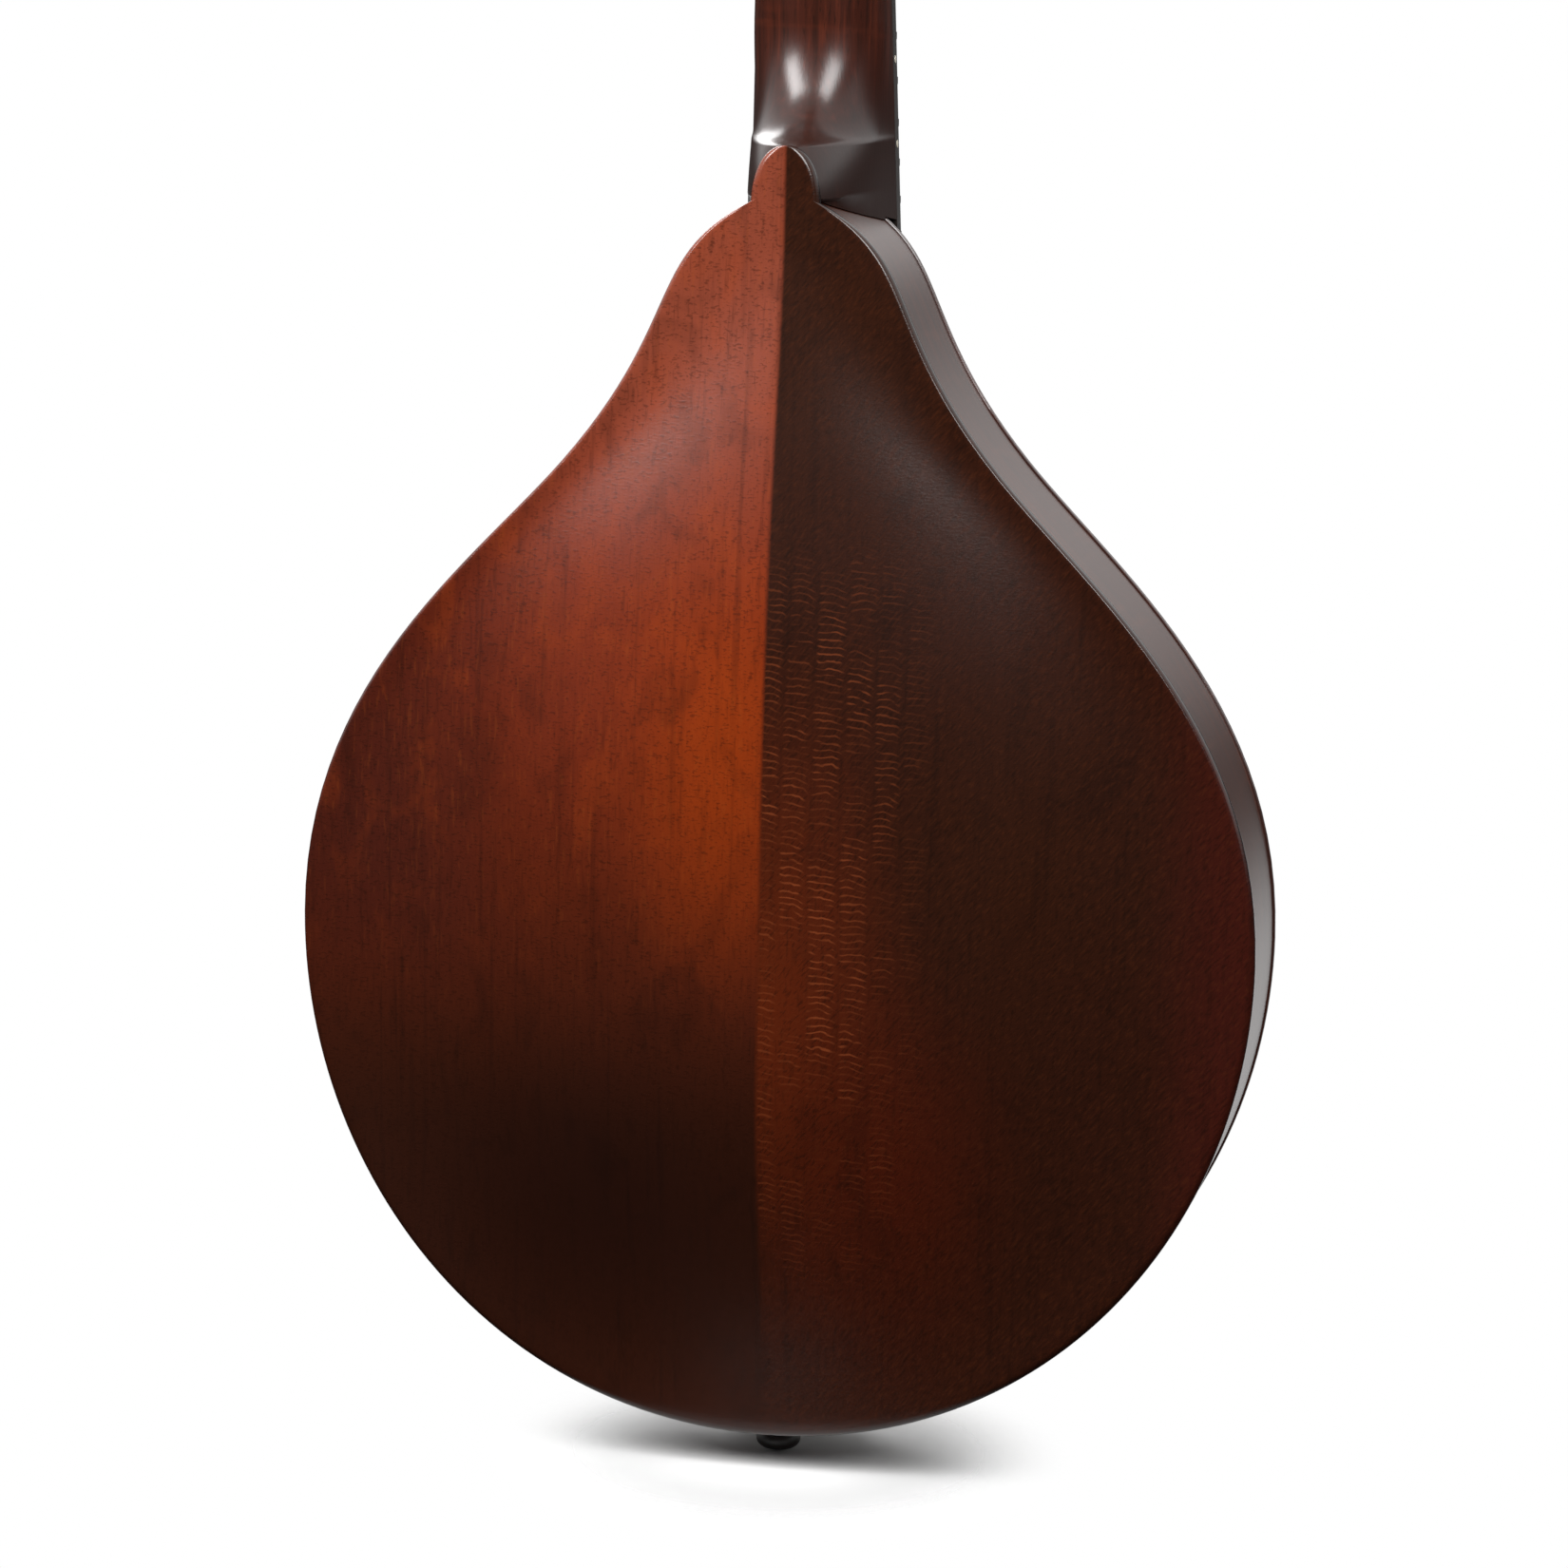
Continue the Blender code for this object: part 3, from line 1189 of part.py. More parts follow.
def sheet(name, profile, half_width, thickness, mat, parent):
    """A bent strip of sheet metal: a profile in (y, z), as wide as its part, given a thickness."""
    verts = [(x, y, z) for y, z in profile for x in (-half_width, half_width)]
    faces = [(2 * i, 2 * i + 1, 2 * i + 3, 2 * i + 2) for i in range(len(profile) - 1)]
    mesh = bpy.data.meshes.new(name)
    mesh.from_pydata(verts, [], faces)
    obj = link(bpy.data.objects.new(name, mesh), PARTS, mat, parent)
    shell = obj.modifiers.new("Sheet thickness", 'SOLIDIFY')
    shell.thickness = thickness
    shell.offset = 1
    shell.use_even_offset = True
    return obj


def hook_places():
    return [(number - 3.5) * HOOK_SPACING for number in range(len(STRING_DIAMETERS))]


def build_tailpiece():
    """Bent base plate with eight hooks, and the pressed cover that slides over it."""
    leg = Matrix.Rotation(-TAILPIECE_ANGLE, 4, 'X') @ Vector((0, TAILPIECE_LEG, 0))
    profile = [(leg.y, leg.z), (0.0, 0.0), (0.0, TAILPIECE_LENGTH)]
    base = sheet("tailpiece_base", profile, TAILPIECE_HALF_WIDTH, TAILPIECE_SHEET, NICKEL, TAIL)
    verts, faces = [], []
    stem = HOOK_WIDTH * 0.6
    seat = -TAILPIECE_SHEET / 2
    for x in hook_places():
        shape = [(seat, HOOK_AT), (seat, HOOK_AT + stem),
                 (-TAILPIECE_SHEET - HOOK_HEIGHT, HOOK_AT + stem),
                 (-TAILPIECE_SHEET - HOOK_HEIGHT, HOOK_AT - 2 * stem),
                 (-TAILPIECE_SHEET - HOOK_HEIGHT + stem, HOOK_AT - 2 * stem),
                 (-TAILPIECE_SHEET - HOOK_HEIGHT + stem, HOOK_AT)]
        start, count = len(verts), len(shape)
        for edge in (-HOOK_WIDTH / 2, HOOK_WIDTH / 2):
            verts += [(x + edge, y, z) for y, z in shape]
        faces += [[start + i for i in range(count)], [start + count + i for i in range(count)]]
        faces += [[start + i, start + (i + 1) % count, start + count + (i + 1) % count,
                   start + count + i] for i in range(count)]
    hooks = mesh_object("hook_shapes", verts, faces, None, TAIL, CUTTERS)
    boolean(base, as_cutter(hooks), 'UNION')
    build_tailpiece_cover()


def build_tailpiece_cover():
    """Pressed cover: a rounded box, open below and towards the bridge."""
    half = TAILPIECE_HALF_WIDTH + 2 * FIT + COVER_SHEET
    back = -(TAILPIECE_SHEET + 3 * FIT + COVER_SHEET)
    low, high = 0.0, -(TAILPIECE_SHEET + COVER_SHELL_HEIGHT)
    cover = box("tailpiece_cover", (2 * half, low - high, COVER_SHELL_LENGTH),
                (0, 0, 0), NICKEL, TAIL)
    work = bmesh.new()
    work.from_mesh(cover.data)
    bmesh.ops.translate(work, vec=(0, (low + high) / 2, back + COVER_SHELL_LENGTH / 2), verts=work.verts)
    open_faces = [f for f in work.faces if f.normal.y > 0.5 or f.normal.z > 0.5]
    bmesh.ops.delete(work, geom=open_faces, context='FACES')
    work.to_mesh(cover.data)
    work.free()
    bevel(cover, COVER_SHELL_HEIGHT * 0.4, 3)
    shell = cover.modifiers.new("Sheet thickness", 'SOLIDIFY')
    shell.thickness = COVER_SHEET
    shell.offset = -1
    shell.use_even_offset = True
    return smooth(cover)


def string_spread(number, course_spacing, pair_spacing):
    course, member = divmod(number, 2)
    return (course - 1.5) * course_spacing + (member - 0.5) * pair_spacing


def build_strings():
    """Eight strings from the hooks over the saddle and the nut to their posts."""
    neck_to_body = NECK.matrix_basis
    head_to_body = neck_to_body @ HEAD.matrix_basis
    posts = {(side, number): (x, z) for side, number, x, z in post_places()}
    nut_top = -(2 * FIT + FINGERBOARD_THICKNESS + NUT_RISE)
    for number, diameter in enumerate(STRING_DIAMETERS):
        r = diameter / 2
        side = -1 if number < 4 else 1
        post_x, post_z = posts[(side, number if number < 4 else 7 - number)]
        hook = TAIL.matrix_basis @ Vector((hook_places()[number], -TAILPIECE_SHEET - FIT - 2.2 * r,
                                           HOOK_AT + HOOK_WIDTH * 0.6 + FIT))
        bridge = Vector((string_spread(number, COURSE_SPACING_BRIDGE, PAIR_SPACING_BRIDGE),
                         string_y_at_bridge() - r, saddle_z()))
        ends = [hook, bridge - Vector((0, 0, SADDLE_TOP_DEPTH / 2)), bridge + Vector((0, 0, SADDLE_TOP_DEPTH / 2))]
        nut_x = string_spread(number, COURSE_SPACING_NUT, PAIR_SPACING_NUT)
        for along in (NUT_TO_BODY, NUT_TO_BODY + NUT_LENGTH + 2 * FIT):
            ends.append(neck_to_body @ Vector((nut_x, nut_top - r, along)))
        ends.append(head_to_body @ Vector((
            post_x - side * (POST_RADIUS * POST_WAIST + r + FIT),
            -(FIT + HEAD_PLATE_THICKNESS + STRING_HOLE_PROUD), post_z)))
        add_wire("string_" + str(number + 1), ends, r, STEEL if number > 3 else BRONZE)


def add_wire(name, points, radius, mat):
    curve = bpy.data.curves.new(name, 'CURVE')
    curve.dimensions = '3D'
    curve.bevel_depth = radius
    curve.bevel_resolution = 1
    curve.use_fill_caps = True
    spline = curve.splines.new('POLY')
    spline.points.add(len(points) - 1)
    for point, place in zip(spline.points, points):
        point.co = (*place, 1.0)
    return link(bpy.data.objects.new(name, curve), PARTS, mat, BODY)


clear_scene()
PARTS = new_collection("a_style_mandolin")
CUTTERS = new_collection("cutters")

MAPLE_BACK = material("Maple back", (0.16, 0.05, 0.025), 0.40)
MAPLE_RIB = material("Maple rib", (0.10, 0.04, 0.025), 0.40)
MAPLE_NECK = material("Maple neck", (0.09, 0.03, 0.02), 0.35)
SPRUCE = material("Stained spruce top", (0.30, 0.10, 0.03), 0.40)
SPRUCE_BAR = material("Bare spruce", (0.70, 0.50, 0.30), 0.70)
PALE_WOOD = material("Bare basswood", (0.62, 0.42, 0.25), 0.70)
EBONY = material("Ebony", (0.02, 0.015, 0.012), 0.45)
EBONY_FACE = material("Black head face", (0.015, 0.012, 0.012), 0.30)
BONE = material("Bone", (0.85, 0.80, 0.68), 0.35)
NICKEL = material("Nickel plate", (0.75, 0.74, 0.72), 0.22, 1.0)
STEEL = material("Steel", (0.60, 0.60, 0.60), 0.30, 1.0)
BRASS = material("Brass", (0.70, 0.55, 0.25), 0.30, 1.0)
BRONZE = material("Bronze winding", (0.62, 0.42, 0.22), 0.35, 1.0)
PEARL = material("Cream plastic", (0.85, 0.82, 0.74), 0.25)

BODY = empty("body_frame", (0, 0, PIN_PROUD), (0, 0, 0))
NECK = empty("neck_frame", (0, GLUE_PLANE_Y, BODY_LENGTH), (-NECK_ANGLE, 0, 0), BODY)
HEAD = empty("head_frame", (0, 0, NUT_TO_BODY + NUT_LENGTH + 2 * FIT), (-HEAD_ANGLE, 0, 0), NECK)
TAIL = empty("tailpiece_frame", (0, -(HALF_DEPTH + TAILPIECE_LIFT), -FIT),
             (TAILPIECE_ANGLE, 0, 0), BODY)

build_plates()
build_rim()
build_brace()
build_end_pin()
build_neck()
build_fingerboard()
build_riser()
build_nut()
build_truss_cover()
build_tuners()
build_bridge()
build_tailpiece()
build_strings()
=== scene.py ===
"""A-style mandolin: its looks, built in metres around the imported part's own frame.

The strings face -Y, the carved back faces +Y, +Z runs up the neck and +X is the treble side.
"""
import logging
import math
from dataclasses import dataclass
from enum import Enum
from typing import Iterable, Sequence, Union

import bmesh
import bpy
from mathutils import Matrix, Vector
from mathutils.geometry import interpolate_bezier


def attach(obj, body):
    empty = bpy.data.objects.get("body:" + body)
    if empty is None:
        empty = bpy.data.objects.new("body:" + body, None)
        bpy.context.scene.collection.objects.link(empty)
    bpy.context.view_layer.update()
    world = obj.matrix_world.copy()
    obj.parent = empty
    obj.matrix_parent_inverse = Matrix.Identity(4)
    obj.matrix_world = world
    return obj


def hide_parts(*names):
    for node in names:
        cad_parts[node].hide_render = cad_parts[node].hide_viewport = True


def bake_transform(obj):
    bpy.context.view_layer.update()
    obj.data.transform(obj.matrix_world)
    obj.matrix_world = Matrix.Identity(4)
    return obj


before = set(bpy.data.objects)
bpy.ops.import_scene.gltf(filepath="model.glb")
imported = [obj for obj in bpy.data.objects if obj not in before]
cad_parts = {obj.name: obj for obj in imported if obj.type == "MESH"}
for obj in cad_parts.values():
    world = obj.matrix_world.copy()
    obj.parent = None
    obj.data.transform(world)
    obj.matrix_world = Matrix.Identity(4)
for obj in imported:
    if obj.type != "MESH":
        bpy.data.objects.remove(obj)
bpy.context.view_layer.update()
LOG = logging.getLogger("mandolin")
ROOT = "mandolin"

Pair = tuple[float, float]
Point = Sequence[float]
Rows = Sequence[Sequence[Point]]
Socket = bpy.types.NodeSocket
Thing = bpy.types.Object
QUARTER = math.pi / 2

# Shared sizes of the CAD part, in metres
FIT = 0.0003
PIN_PROUD = 0.0093
BODY_LENGTH = 0.3285
HALF_DEPTH = 0.0230
PLATE = 0.0032
INNER_HALF_DEPTH = HALF_DEPTH - PLATE - FIT
OVERHANG = 0.0006
TOP_ARCH = 0.0150
HOLE_AT = BODY_LENGTH - 0.0905
HOLE_RADII = (0.0275, 0.0200)
NECK_ANGLE = math.radians(5.5)
HEAD_ANGLE = math.radians(15.0)
TAIL_ANGLE = math.radians(8.6)
TAIL_LIFT = 0.0030
TAIL_SHEET = 0.0012
GLUE_PLANE_Y = -0.0270
NUT_TO_BODY = 0.1811
SCALE_LENGTH = 0.3524
NUT_LENGTH = 0.0045
NUT_HALF_WIDTH = 0.0143
JOINT_HALF_WIDTH = 0.0194
BOARD = 0.0055
FRET_HEIGHT = 0.0009
HEAD_THICKNESS = 0.0120
HEAD_PLATE = 0.0025
HEAD_START = NUT_TO_BODY + NUT_LENGTH + 2 * FIT
POST_X = 0.0215
FIRST_POST = 0.0410
POST_STEP = 0.0230
TUNER_SHEET = 0.0012
SCREW_SPREAD = 0.0330
STRING_DIAMETERS = (0.00102, 0.00102, 0.00066, 0.00066, 0.00038, 0.00038, 0.00030, 0.00030)


def move(x: float, y: float, z: float) -> Matrix:
    """A shift, in metres."""
    return Matrix.Translation((x, y, z))


def spin(angle: float, axis: str) -> Matrix:
    """A turn about an axis, in radians."""
    return Matrix.Rotation(angle, 4, axis)


def mix(start: float, end: float, share: float) -> float:
    """Value at a share of the way between two others."""
    return start + (end - start) * share


def clamp(share: float) -> float:
    """A share, kept between 0 and 1."""
    return min(max(share, 0.0), 1.0)


def smooth(share: float) -> float:
    """A share that starts and ends gently."""
    return share * share * (3 - 2 * share)


# Frames of the sub-assemblies
BODY = move(0, 0, PIN_PROUD)
NECK = BODY @ move(0, GLUE_PLANE_Y, BODY_LENGTH) @ spin(-NECK_ANGLE, "X")
HEAD = NECK @ move(0, 0, HEAD_START) @ spin(-HEAD_ANGLE, "X")
TAIL = BODY @ move(0, -(HALF_DEPTH + TAIL_LIFT), -FIT) @ spin(TAIL_ANGLE, "X")


class Hand(Enum):
    """Side of the instrument."""

    BASS = -1
    TREBLE = 1

    @property
    def tag(self) -> str:
        """The side's name in node names."""
        return self.name.lower()


# Node trees

def linear(code: str) -> tuple[float, float, float, float]:
    """Turn an sRGB hex code into a linear colour with an alpha of 1."""
    parts = [int(code[i:i + 2], 16) / 255 for i in (0, 2, 4)]
    red, green, blue = (c / 12.92 if c <= 0.04045 else ((c + 0.055) / 1.055) ** 2.4 for c in parts)
    return red, green, blue, 1.0


class Nodes:
    """A node tree while it is built, and the coordinates in metres that its patterns follow."""

    def __init__(self, tree: bpy.types.NodeTree) -> None:
        """Take up a tree."""
        self.tree = tree
        self.place: Union[Socket, None] = None

    def feed(self, target: Socket, value: object) -> None:
        """Link an output to a socket, or set the socket's own value."""
        if isinstance(value, Socket):
            self.tree.links.new(value, target)
        else:
            target.default_value = value

    def add(self, kind: str, inputs: Union[dict, None] = None, **settings: object) -> bpy.types.Node:
        """Add a node, set its properties and fill or link its inputs.

        Args:
            kind: the node's type.
            inputs: values or output sockets, by the input's name or number.
            settings: the node's own properties.

        Returns:
            The new node.
        """
        node = self.tree.nodes.new(kind)
        for name, value in settings.items():
            setattr(node, name, value)
        for key, value in (inputs or {}).items():
            self.feed(node.inputs[key], value)
        return node

    def math(self, operation: str, *values: object, kept: bool = False) -> Socket:
        """Work out a value, kept between 0 and 1 where asked."""
        inputs = dict(enumerate(values))
        return self.add("ShaderNodeMath", inputs, operation=operation, use_clamp=kept).outputs[0]

    def axes(self) -> Sequence[Socket]:
        """The coordinates' X, Y and Z."""
        return self.add("ShaderNodeSeparateXYZ", {0: self.place}).outputs

    def spots(self, size: Point, detail: float = 2.0, distortion: float = 0.0, shift: Point = (0, 0, 0),
              turn: float = 0.0) -> Socket:
        """Noise whose spots have a real size.

        Args:
            size: a spot's size along X, Y and Z, in metres.
            detail: how many finer layers it has.
            distortion: how far its edges wander.
            shift: where the pattern starts.
            turn: turn of the pattern about Y, in radians.

        Returns:
            A value from 0 to 1.
        """
        turned = self.add("ShaderNodeMapping", {"Vector": self.place, "Rotation": (0, turn, 0)})
        local = self.add("ShaderNodeMapping", {
            "Vector": turned.outputs[0], "Scale": [1 / s for s in size], "Location": shift})
        return self.add("ShaderNodeTexNoise", {
            "Vector": local.outputs[0], "Scale": 1.0, "Detail": detail, "Distortion": distortion}).outputs[0]

    def ramped(self, value: Socket, low: float, high: float) -> Socket:
        """Mask that rises smoothly from 0 at low to 1 at high, or falls where high is below low."""
        first, last, start, end = (low, high, 0.0, 1.0) if low < high else (high, low, 1.0, 0.0)
        return self.add("ShaderNodeMapRange", {
            "Value": value, "From Min": first, "From Max": last, "To Min": start, "To Max": end},
            interpolation_type="SMOOTHSTEP").outputs[0]

    def patch(self, centre: Point, radii: Point) -> Socket:
        """Soft mask: 1 at its centre, 0 at its radii along X, Y and Z."""
        local = self.add("ShaderNodeMapping", {"Vector": self.place, "Location": centre, "Scale": radii},
                         vector_type="TEXTURE")
        fall = self.add("ShaderNodeTexGradient", {"Vector": local.outputs[0]}, gradient_type="SPHERICAL")
        return self.ramped(fall.outputs[1], 0.0, 1.0)

    def times(self, *masks: Socket) -> Socket:
        """Multiply masks with each other."""
        product = masks[0]
        for mask in masks[1:]:
            product = self.math("MULTIPLY", product, mask)
        return product

    def coats(self, base: Union[Socket, str], layers: Iterable[tuple[Socket, str, float]]) -> Socket:
        """Lay coats of colour, each with its mask, hex colour and strength, over a colour or a hex code."""
        if isinstance(base, str):
            base = linear(base)
        for mask, code, strength in layers:
            amount = self.math("MULTIPLY", mask, strength, kept=True)
            base = self.add("ShaderNodeMix", {0: amount, 6: base, 7: linear(code)}, data_type="RGBA").outputs[2]
        return base

    def relief(self, height: Socket, depth: float) -> Socket:
        """Normals of a surface that a height map raises, depth in metres."""
        return self.add("ShaderNodeBump", {"Height": height, "Distance": depth, "Strength": 1.0}).outputs[0]


# Finishes

@dataclass(frozen=True)
class Finish:
    """A finish, kept under its name, with the name of a material slot."""

    name: str
    slot: str
    roughness: float = 0.40

    def material(self) -> bpy.types.Material:
        """The finish's material, made the first time it is asked for."""
        made = bpy.data.materials.get(self.name)
        if made is None:
            made = bpy.data.materials.new(self.name)
            made.use_nodes = True
            nodes = Nodes(made.node_tree)
            nodes.place = nodes.add("ShaderNodeTexCoord").outputs["Object"]
            sockets = made.node_tree.nodes["Principled BSDF"].inputs
            for title, value in {"Roughness": self.roughness, **self.shade(nodes)}.items():
                nodes.feed(sockets[title], value)
        return made

    def shade(self, n: Nodes) -> dict[str, object]:
        """Values and outputs for the shader's sockets, by name."""
        raise NotImplementedError


@dataclass(frozen=True)
class FiguredBack(Finish):
    """Quartered, bookmatched maple, stained dark and sprayed with satin lacquer.

    Its halves look unlike: fine pores and a warm glow on the treble half, bands of ray fleck on the bass half. The
    treble half's warmth and lightness is partly stain and partly painted chatoyant sheen, and a painted sheen
    lightens its upper part.
    """

    seam: float = 0.0008
    band: float = 0.0076
    line: float = 0.0019
    wander: float = 0.0030
    hook: float = 0.0014
    satin: float = 0.05

    def flecks(self, n: Nodes, x: Socket, z: Socket) -> Socket:
        """Mask of ray fleck: fine wavy lines across bands of quartered grain."""
        lean = n.spots((0.020, 0.02, 0.050), 1.0, 0.0, (4.0, 0, 0))
        across = n.math("ADD", n.math("DIVIDE", x, -self.band), n.math("MULTIPLY", lean, 0.5))
        number, within = n.math("FLOOR", across), n.math("FRACT", across)
        dice = n.add("ShaderNodeTexWhiteNoise", {"W": number}, noise_dimensions="1D")
        wave = n.spots((0.005, 0.02, 0.006), 2.0, 0.0, (0, 0, 2.0))
        height = n.math("ADD", z, n.math("MULTIPLY", wave, self.wander))
        height = n.math("ADD", height, n.math("MULTIPLY", n.math("POWER", within, 3.0), self.hook))
        phase = n.math("ADD", n.math("DIVIDE", height, self.line), dice.outputs["Value"])
        lines = n.math("SINE", n.math("MULTIPLY", phase, 2 * math.pi))
        local = n.add("ShaderNodeCombineXYZ", {
            0: n.math("MULTIPLY", number, 3.7), 2: n.math("DIVIDE", z, 0.022)})
        strong = n.add("ShaderNodeTexNoise", {"Vector": local.outputs[0], "Scale": 1.0, "Detail": 3.0})
        broken = n.spots((0.0060, 0.02, 0.0009), 1.0, 0.0, (7.0, 0, 0))
        return n.times(n.ramped(lines, 0.45, 1.0), n.ramped(broken, 0.30, 0.62),
                       n.ramped(within, 0.0, 0.14), n.ramped(within, 1.0, 0.74),
                       n.ramped(strong.outputs[0], 0.34, 0.66),
                       n.ramped(x, 0.0, -self.seam), n.ramped(x, -0.050, -0.016),
                       n.ramped(z, 0.035, 0.125), n.ramped(z, 0.262, 0.215))

    def shade(self, n: Nodes) -> dict[str, object]:
        """Stain, glow and darker tone in soft patches, the glow and the upper treble coat partly painted sheen,
        with pores, streaks and ray fleck over them.
        """
        x, y, z = n.axes()
        treble, bass = n.ramped(x, -self.seam, self.seam), n.ramped(x, self.seam, -self.seam)

        def cloud(at_x: float, at_z: float, wide: float, tall: float, *masks: Socket) -> Socket:
            """Soft patch on the back's face, kept to other masks."""
            return n.times(*masks, n.patch((at_x, 0.03, at_z), (wide, 0.2, tall)))

        # Broad shading of the stain, with painted chatoyant sheen on the treble half and painted sheen at its top
        colour = n.coats("240d05", [
            (cloud(-0.004, 0.125, 0.045, 0.110, bass), "4a1805", 0.85),
            (cloud(-0.032, 0.085, 0.045, 0.075, bass), "380f04", 0.8),
            (cloud(-0.065, 0.170, 0.045, 0.075, bass), "261006", 0.6),
            (n.times(bass, n.ramped(z, 0.225, 0.310)), "250f05", 0.7),
            # Treble half warmer and lighter, with an orange glow by the seam: partly stain, partly painted
            # chatoyant sheen
            (n.times(treble, n.ramped(z, 0.085, 0.235)), "5c1e0a", 1.0),
            (n.times(treble, n.ramped(x, 0.045, 0.110), n.ramped(z, 0.11, 0.16)), "300f08", 0.8),
            (cloud(0.010, 0.195, 0.040, 0.080, treble), "762904", 0.7),
            (cloud(0.050, 0.072, 0.070, 0.060), "150704", 0.6),
            (n.times(n.ramped(z, 0.325, 0.340), treble), "5c1f0a", 0.8),
            # Painted sheen: a lighter, pinker coat on the upper treble half, partly lighter stain and partly
            # painted highlight of a lamp above
            (n.times(treble, n.ramped(z, 0.225, 0.300)), "7c4130", 0.45),
            (n.ramped(x, -0.095, -0.122), "340d08", 0.6),
        ])
        # Growth streaks, 2 to 3 mm wide
        streaks = n.spots((0.0022, 0.02, 0.070), 3.0, 0.4)
        # Short rays across the grain, real ones 0.2 mm thick, drawn at 0.5 mm to show
        pores = n.spots((0.0012, 0.01, 0.0005), 2.0, 0.4)
        grain = n.spots((0.0009, 0.01, 0.0060), 2.0, 0.3, (3.1, 0, 1.7))
        hatch = n.spots((0.0005, 0.01, 0.0022), 1.0, 0.0, (1.3, 0, 0), 0.7)
        mottle = n.spots((0.012, 0.02, 0.020), 2.0, 0.8)
        colour = n.coats(colour, [
            (n.ramped(streaks, 0.52, 0.75), "0e0503", 0.25),
            (n.ramped(mottle, 0.52, 0.75), "0e0503", 0.25),
            (n.times(n.ramped(mottle, 0.46, 0.28), treble, n.ramped(z, 0.11, 0.20)), "843209", 0.14),
            (n.times(n.ramped(pores, 0.54, 0.68), treble), "180602", 0.42),
            (n.times(n.ramped(hatch, 0.54, 0.70), bass), "0e0502", 0.40),
            (n.times(n.ramped(hatch, 0.44, 0.30), bass), "46200c", 0.16),
            (n.ramped(grain, 0.54, 0.74), "120602", 0.25),
            (n.times(n.ramped(grain, 0.44, 0.26), treble, n.ramped(z, 0.09, 0.20)), "7c3a12", 0.12),
            (self.flecks(n, x, z), "74381c", 0.60),
            # Near black on the edge's side and just inside the edge
            (n.ramped(y, 0.0224, 0.0212), "080303", 0.85),
        ])
        rough = n.add("ShaderNodeMapRange", {
            "Value": n.spots((0.05, 0.05, 0.07), 2.0),
            "To Min": self.roughness - self.satin, "To Max": self.roughness + self.satin})
        return {"Base Color": colour, "Roughness": rough.outputs[0], "Normal": n.relief(pores, 0.00002)}


@dataclass(frozen=True)
class StainedMaple(Finish):
    """Straight-grained maple, stained dark and sprayed with satin lacquer.

    Fine streaks run along the wood, with faint curl across it, and a piece can be darker below a height; on the
    neck that darkening over the heel is partly darker stain and partly painted shade of the cove.
    """

    base: str = "35170f"
    dark: str = "1a0b07"
    light: str = "6a3322"
    along_strip: bool = False
    darker_below: Pair = (-2.0, -1.0)

    def shade(self, n: Nodes) -> dict[str, object]:
        """Streaks along the grain, pores, and curl across; on a bent strip they follow its length."""
        if self.along_strip:
            n.place = n.add("ShaderNodeAttribute", attribute_name="wood").outputs["Vector"]
        streaks = n.spots((0.0016, 0.0016, 0.060), 3.0, 0.3)
        curl = n.spots((0.030, 0.030, 0.0045), 2.0, 0.5, (2.0, 0, 0.5))
        # Pores drawn at 0.5 mm wide where real ones have 0.2 mm
        pores = n.spots((0.0005, 0.0005, 0.0040), 1.0)
        colour = n.coats(self.base, [
            (n.ramped(streaks, 0.50, 0.75), self.dark, 0.75),
            (n.ramped(streaks, 0.48, 0.25), self.light, 0.45),
            (n.ramped(curl, 0.55, 0.75), self.light, 0.18),
            (n.ramped(pores, 0.60, 0.75), self.dark, 0.60),
            # Darker below a height: on the neck, partly darker stain and partly painted shade over the heel's cove
            (n.ramped(n.axes()[2], self.darker_below[1], self.darker_below[0]), "1a0c08", 0.80),
        ])
        return {"Base Color": colour, "Normal": n.relief(pores, 0.00002)}


@dataclass(frozen=True)
class SpruceTop(Finish):
    """Quartered spruce, stained in a sunburst and lacquered, with inlaid rings round the sound hole.

    The eye sees fine parallel growth lines about a millimetre apart, amber in the middle.
    """

    ring_soft: float = 0.004

    def shade(self, n: Nodes) -> dict[str, object]:
        """Growth lines, silk across them, a burst from amber to dark brown, and the rosette."""
        growth = n.spots((0.0010, 0.3, 0.150), 2.0, 0.15)
        silk = n.spots((0.006, 0.3, 0.0012), 2.0, 0.5)
        middle = n.math("MAXIMUM", n.patch((0, -0.03, 0.140), (0.128, 0.3, 0.150)),
                        n.patch((0, -0.03, 0.235), (0.070, 0.3, 0.105)))
        colour = n.coats("2a0f07", [
            (n.ramped(middle, 0.02, 0.45), "6e260b", 1.0),
            (n.ramped(middle, 0.25, 0.95), "b5661f", 0.95),
            (n.ramped(growth, 0.50, 0.72), "3a1507", 0.55),
            (n.times(n.ramped(silk, 0.60, 0.80), n.ramped(middle, 0.3, 0.9)), "d28a3c", 0.14),
        ])
        local = n.add("ShaderNodeMapping", {
            "Vector": n.place, "Location": (0, 0, HOLE_AT + PIN_PROUD),
            "Scale": (HOLE_RADII[0], 1.0, HOLE_RADII[1])}, vector_type="TEXTURE")
        flat = n.add("ShaderNodeVectorMath", {0: local.outputs[0], 1: (1, 0, 1)}, operation="MULTIPLY")
        reach = n.add("ShaderNodeVectorMath", {0: flat.outputs[0]}, operation="LENGTH").outputs["Value"]
        for first, last, code in ((1.13, 1.25, "120a07"), (1.145, 1.165, "d9c9a6"), (1.18, 1.20, "d9c9a6"),
                                  (1.215, 1.235, "d9c9a6"), (1.31, 1.345, "120a07"), (1.32, 1.335, "d9c9a6")):
            ring = n.times(n.ramped(reach, first - self.ring_soft, first),
                           n.ramped(reach, last + self.ring_soft, last))
            colour = n.coats(colour, [(ring, code, 1.0)])
        return {"Base Color": colour, "Coat Weight": 0.35, "Coat Roughness": 0.15,
                "Normal": n.relief(growth, 0.00003)}


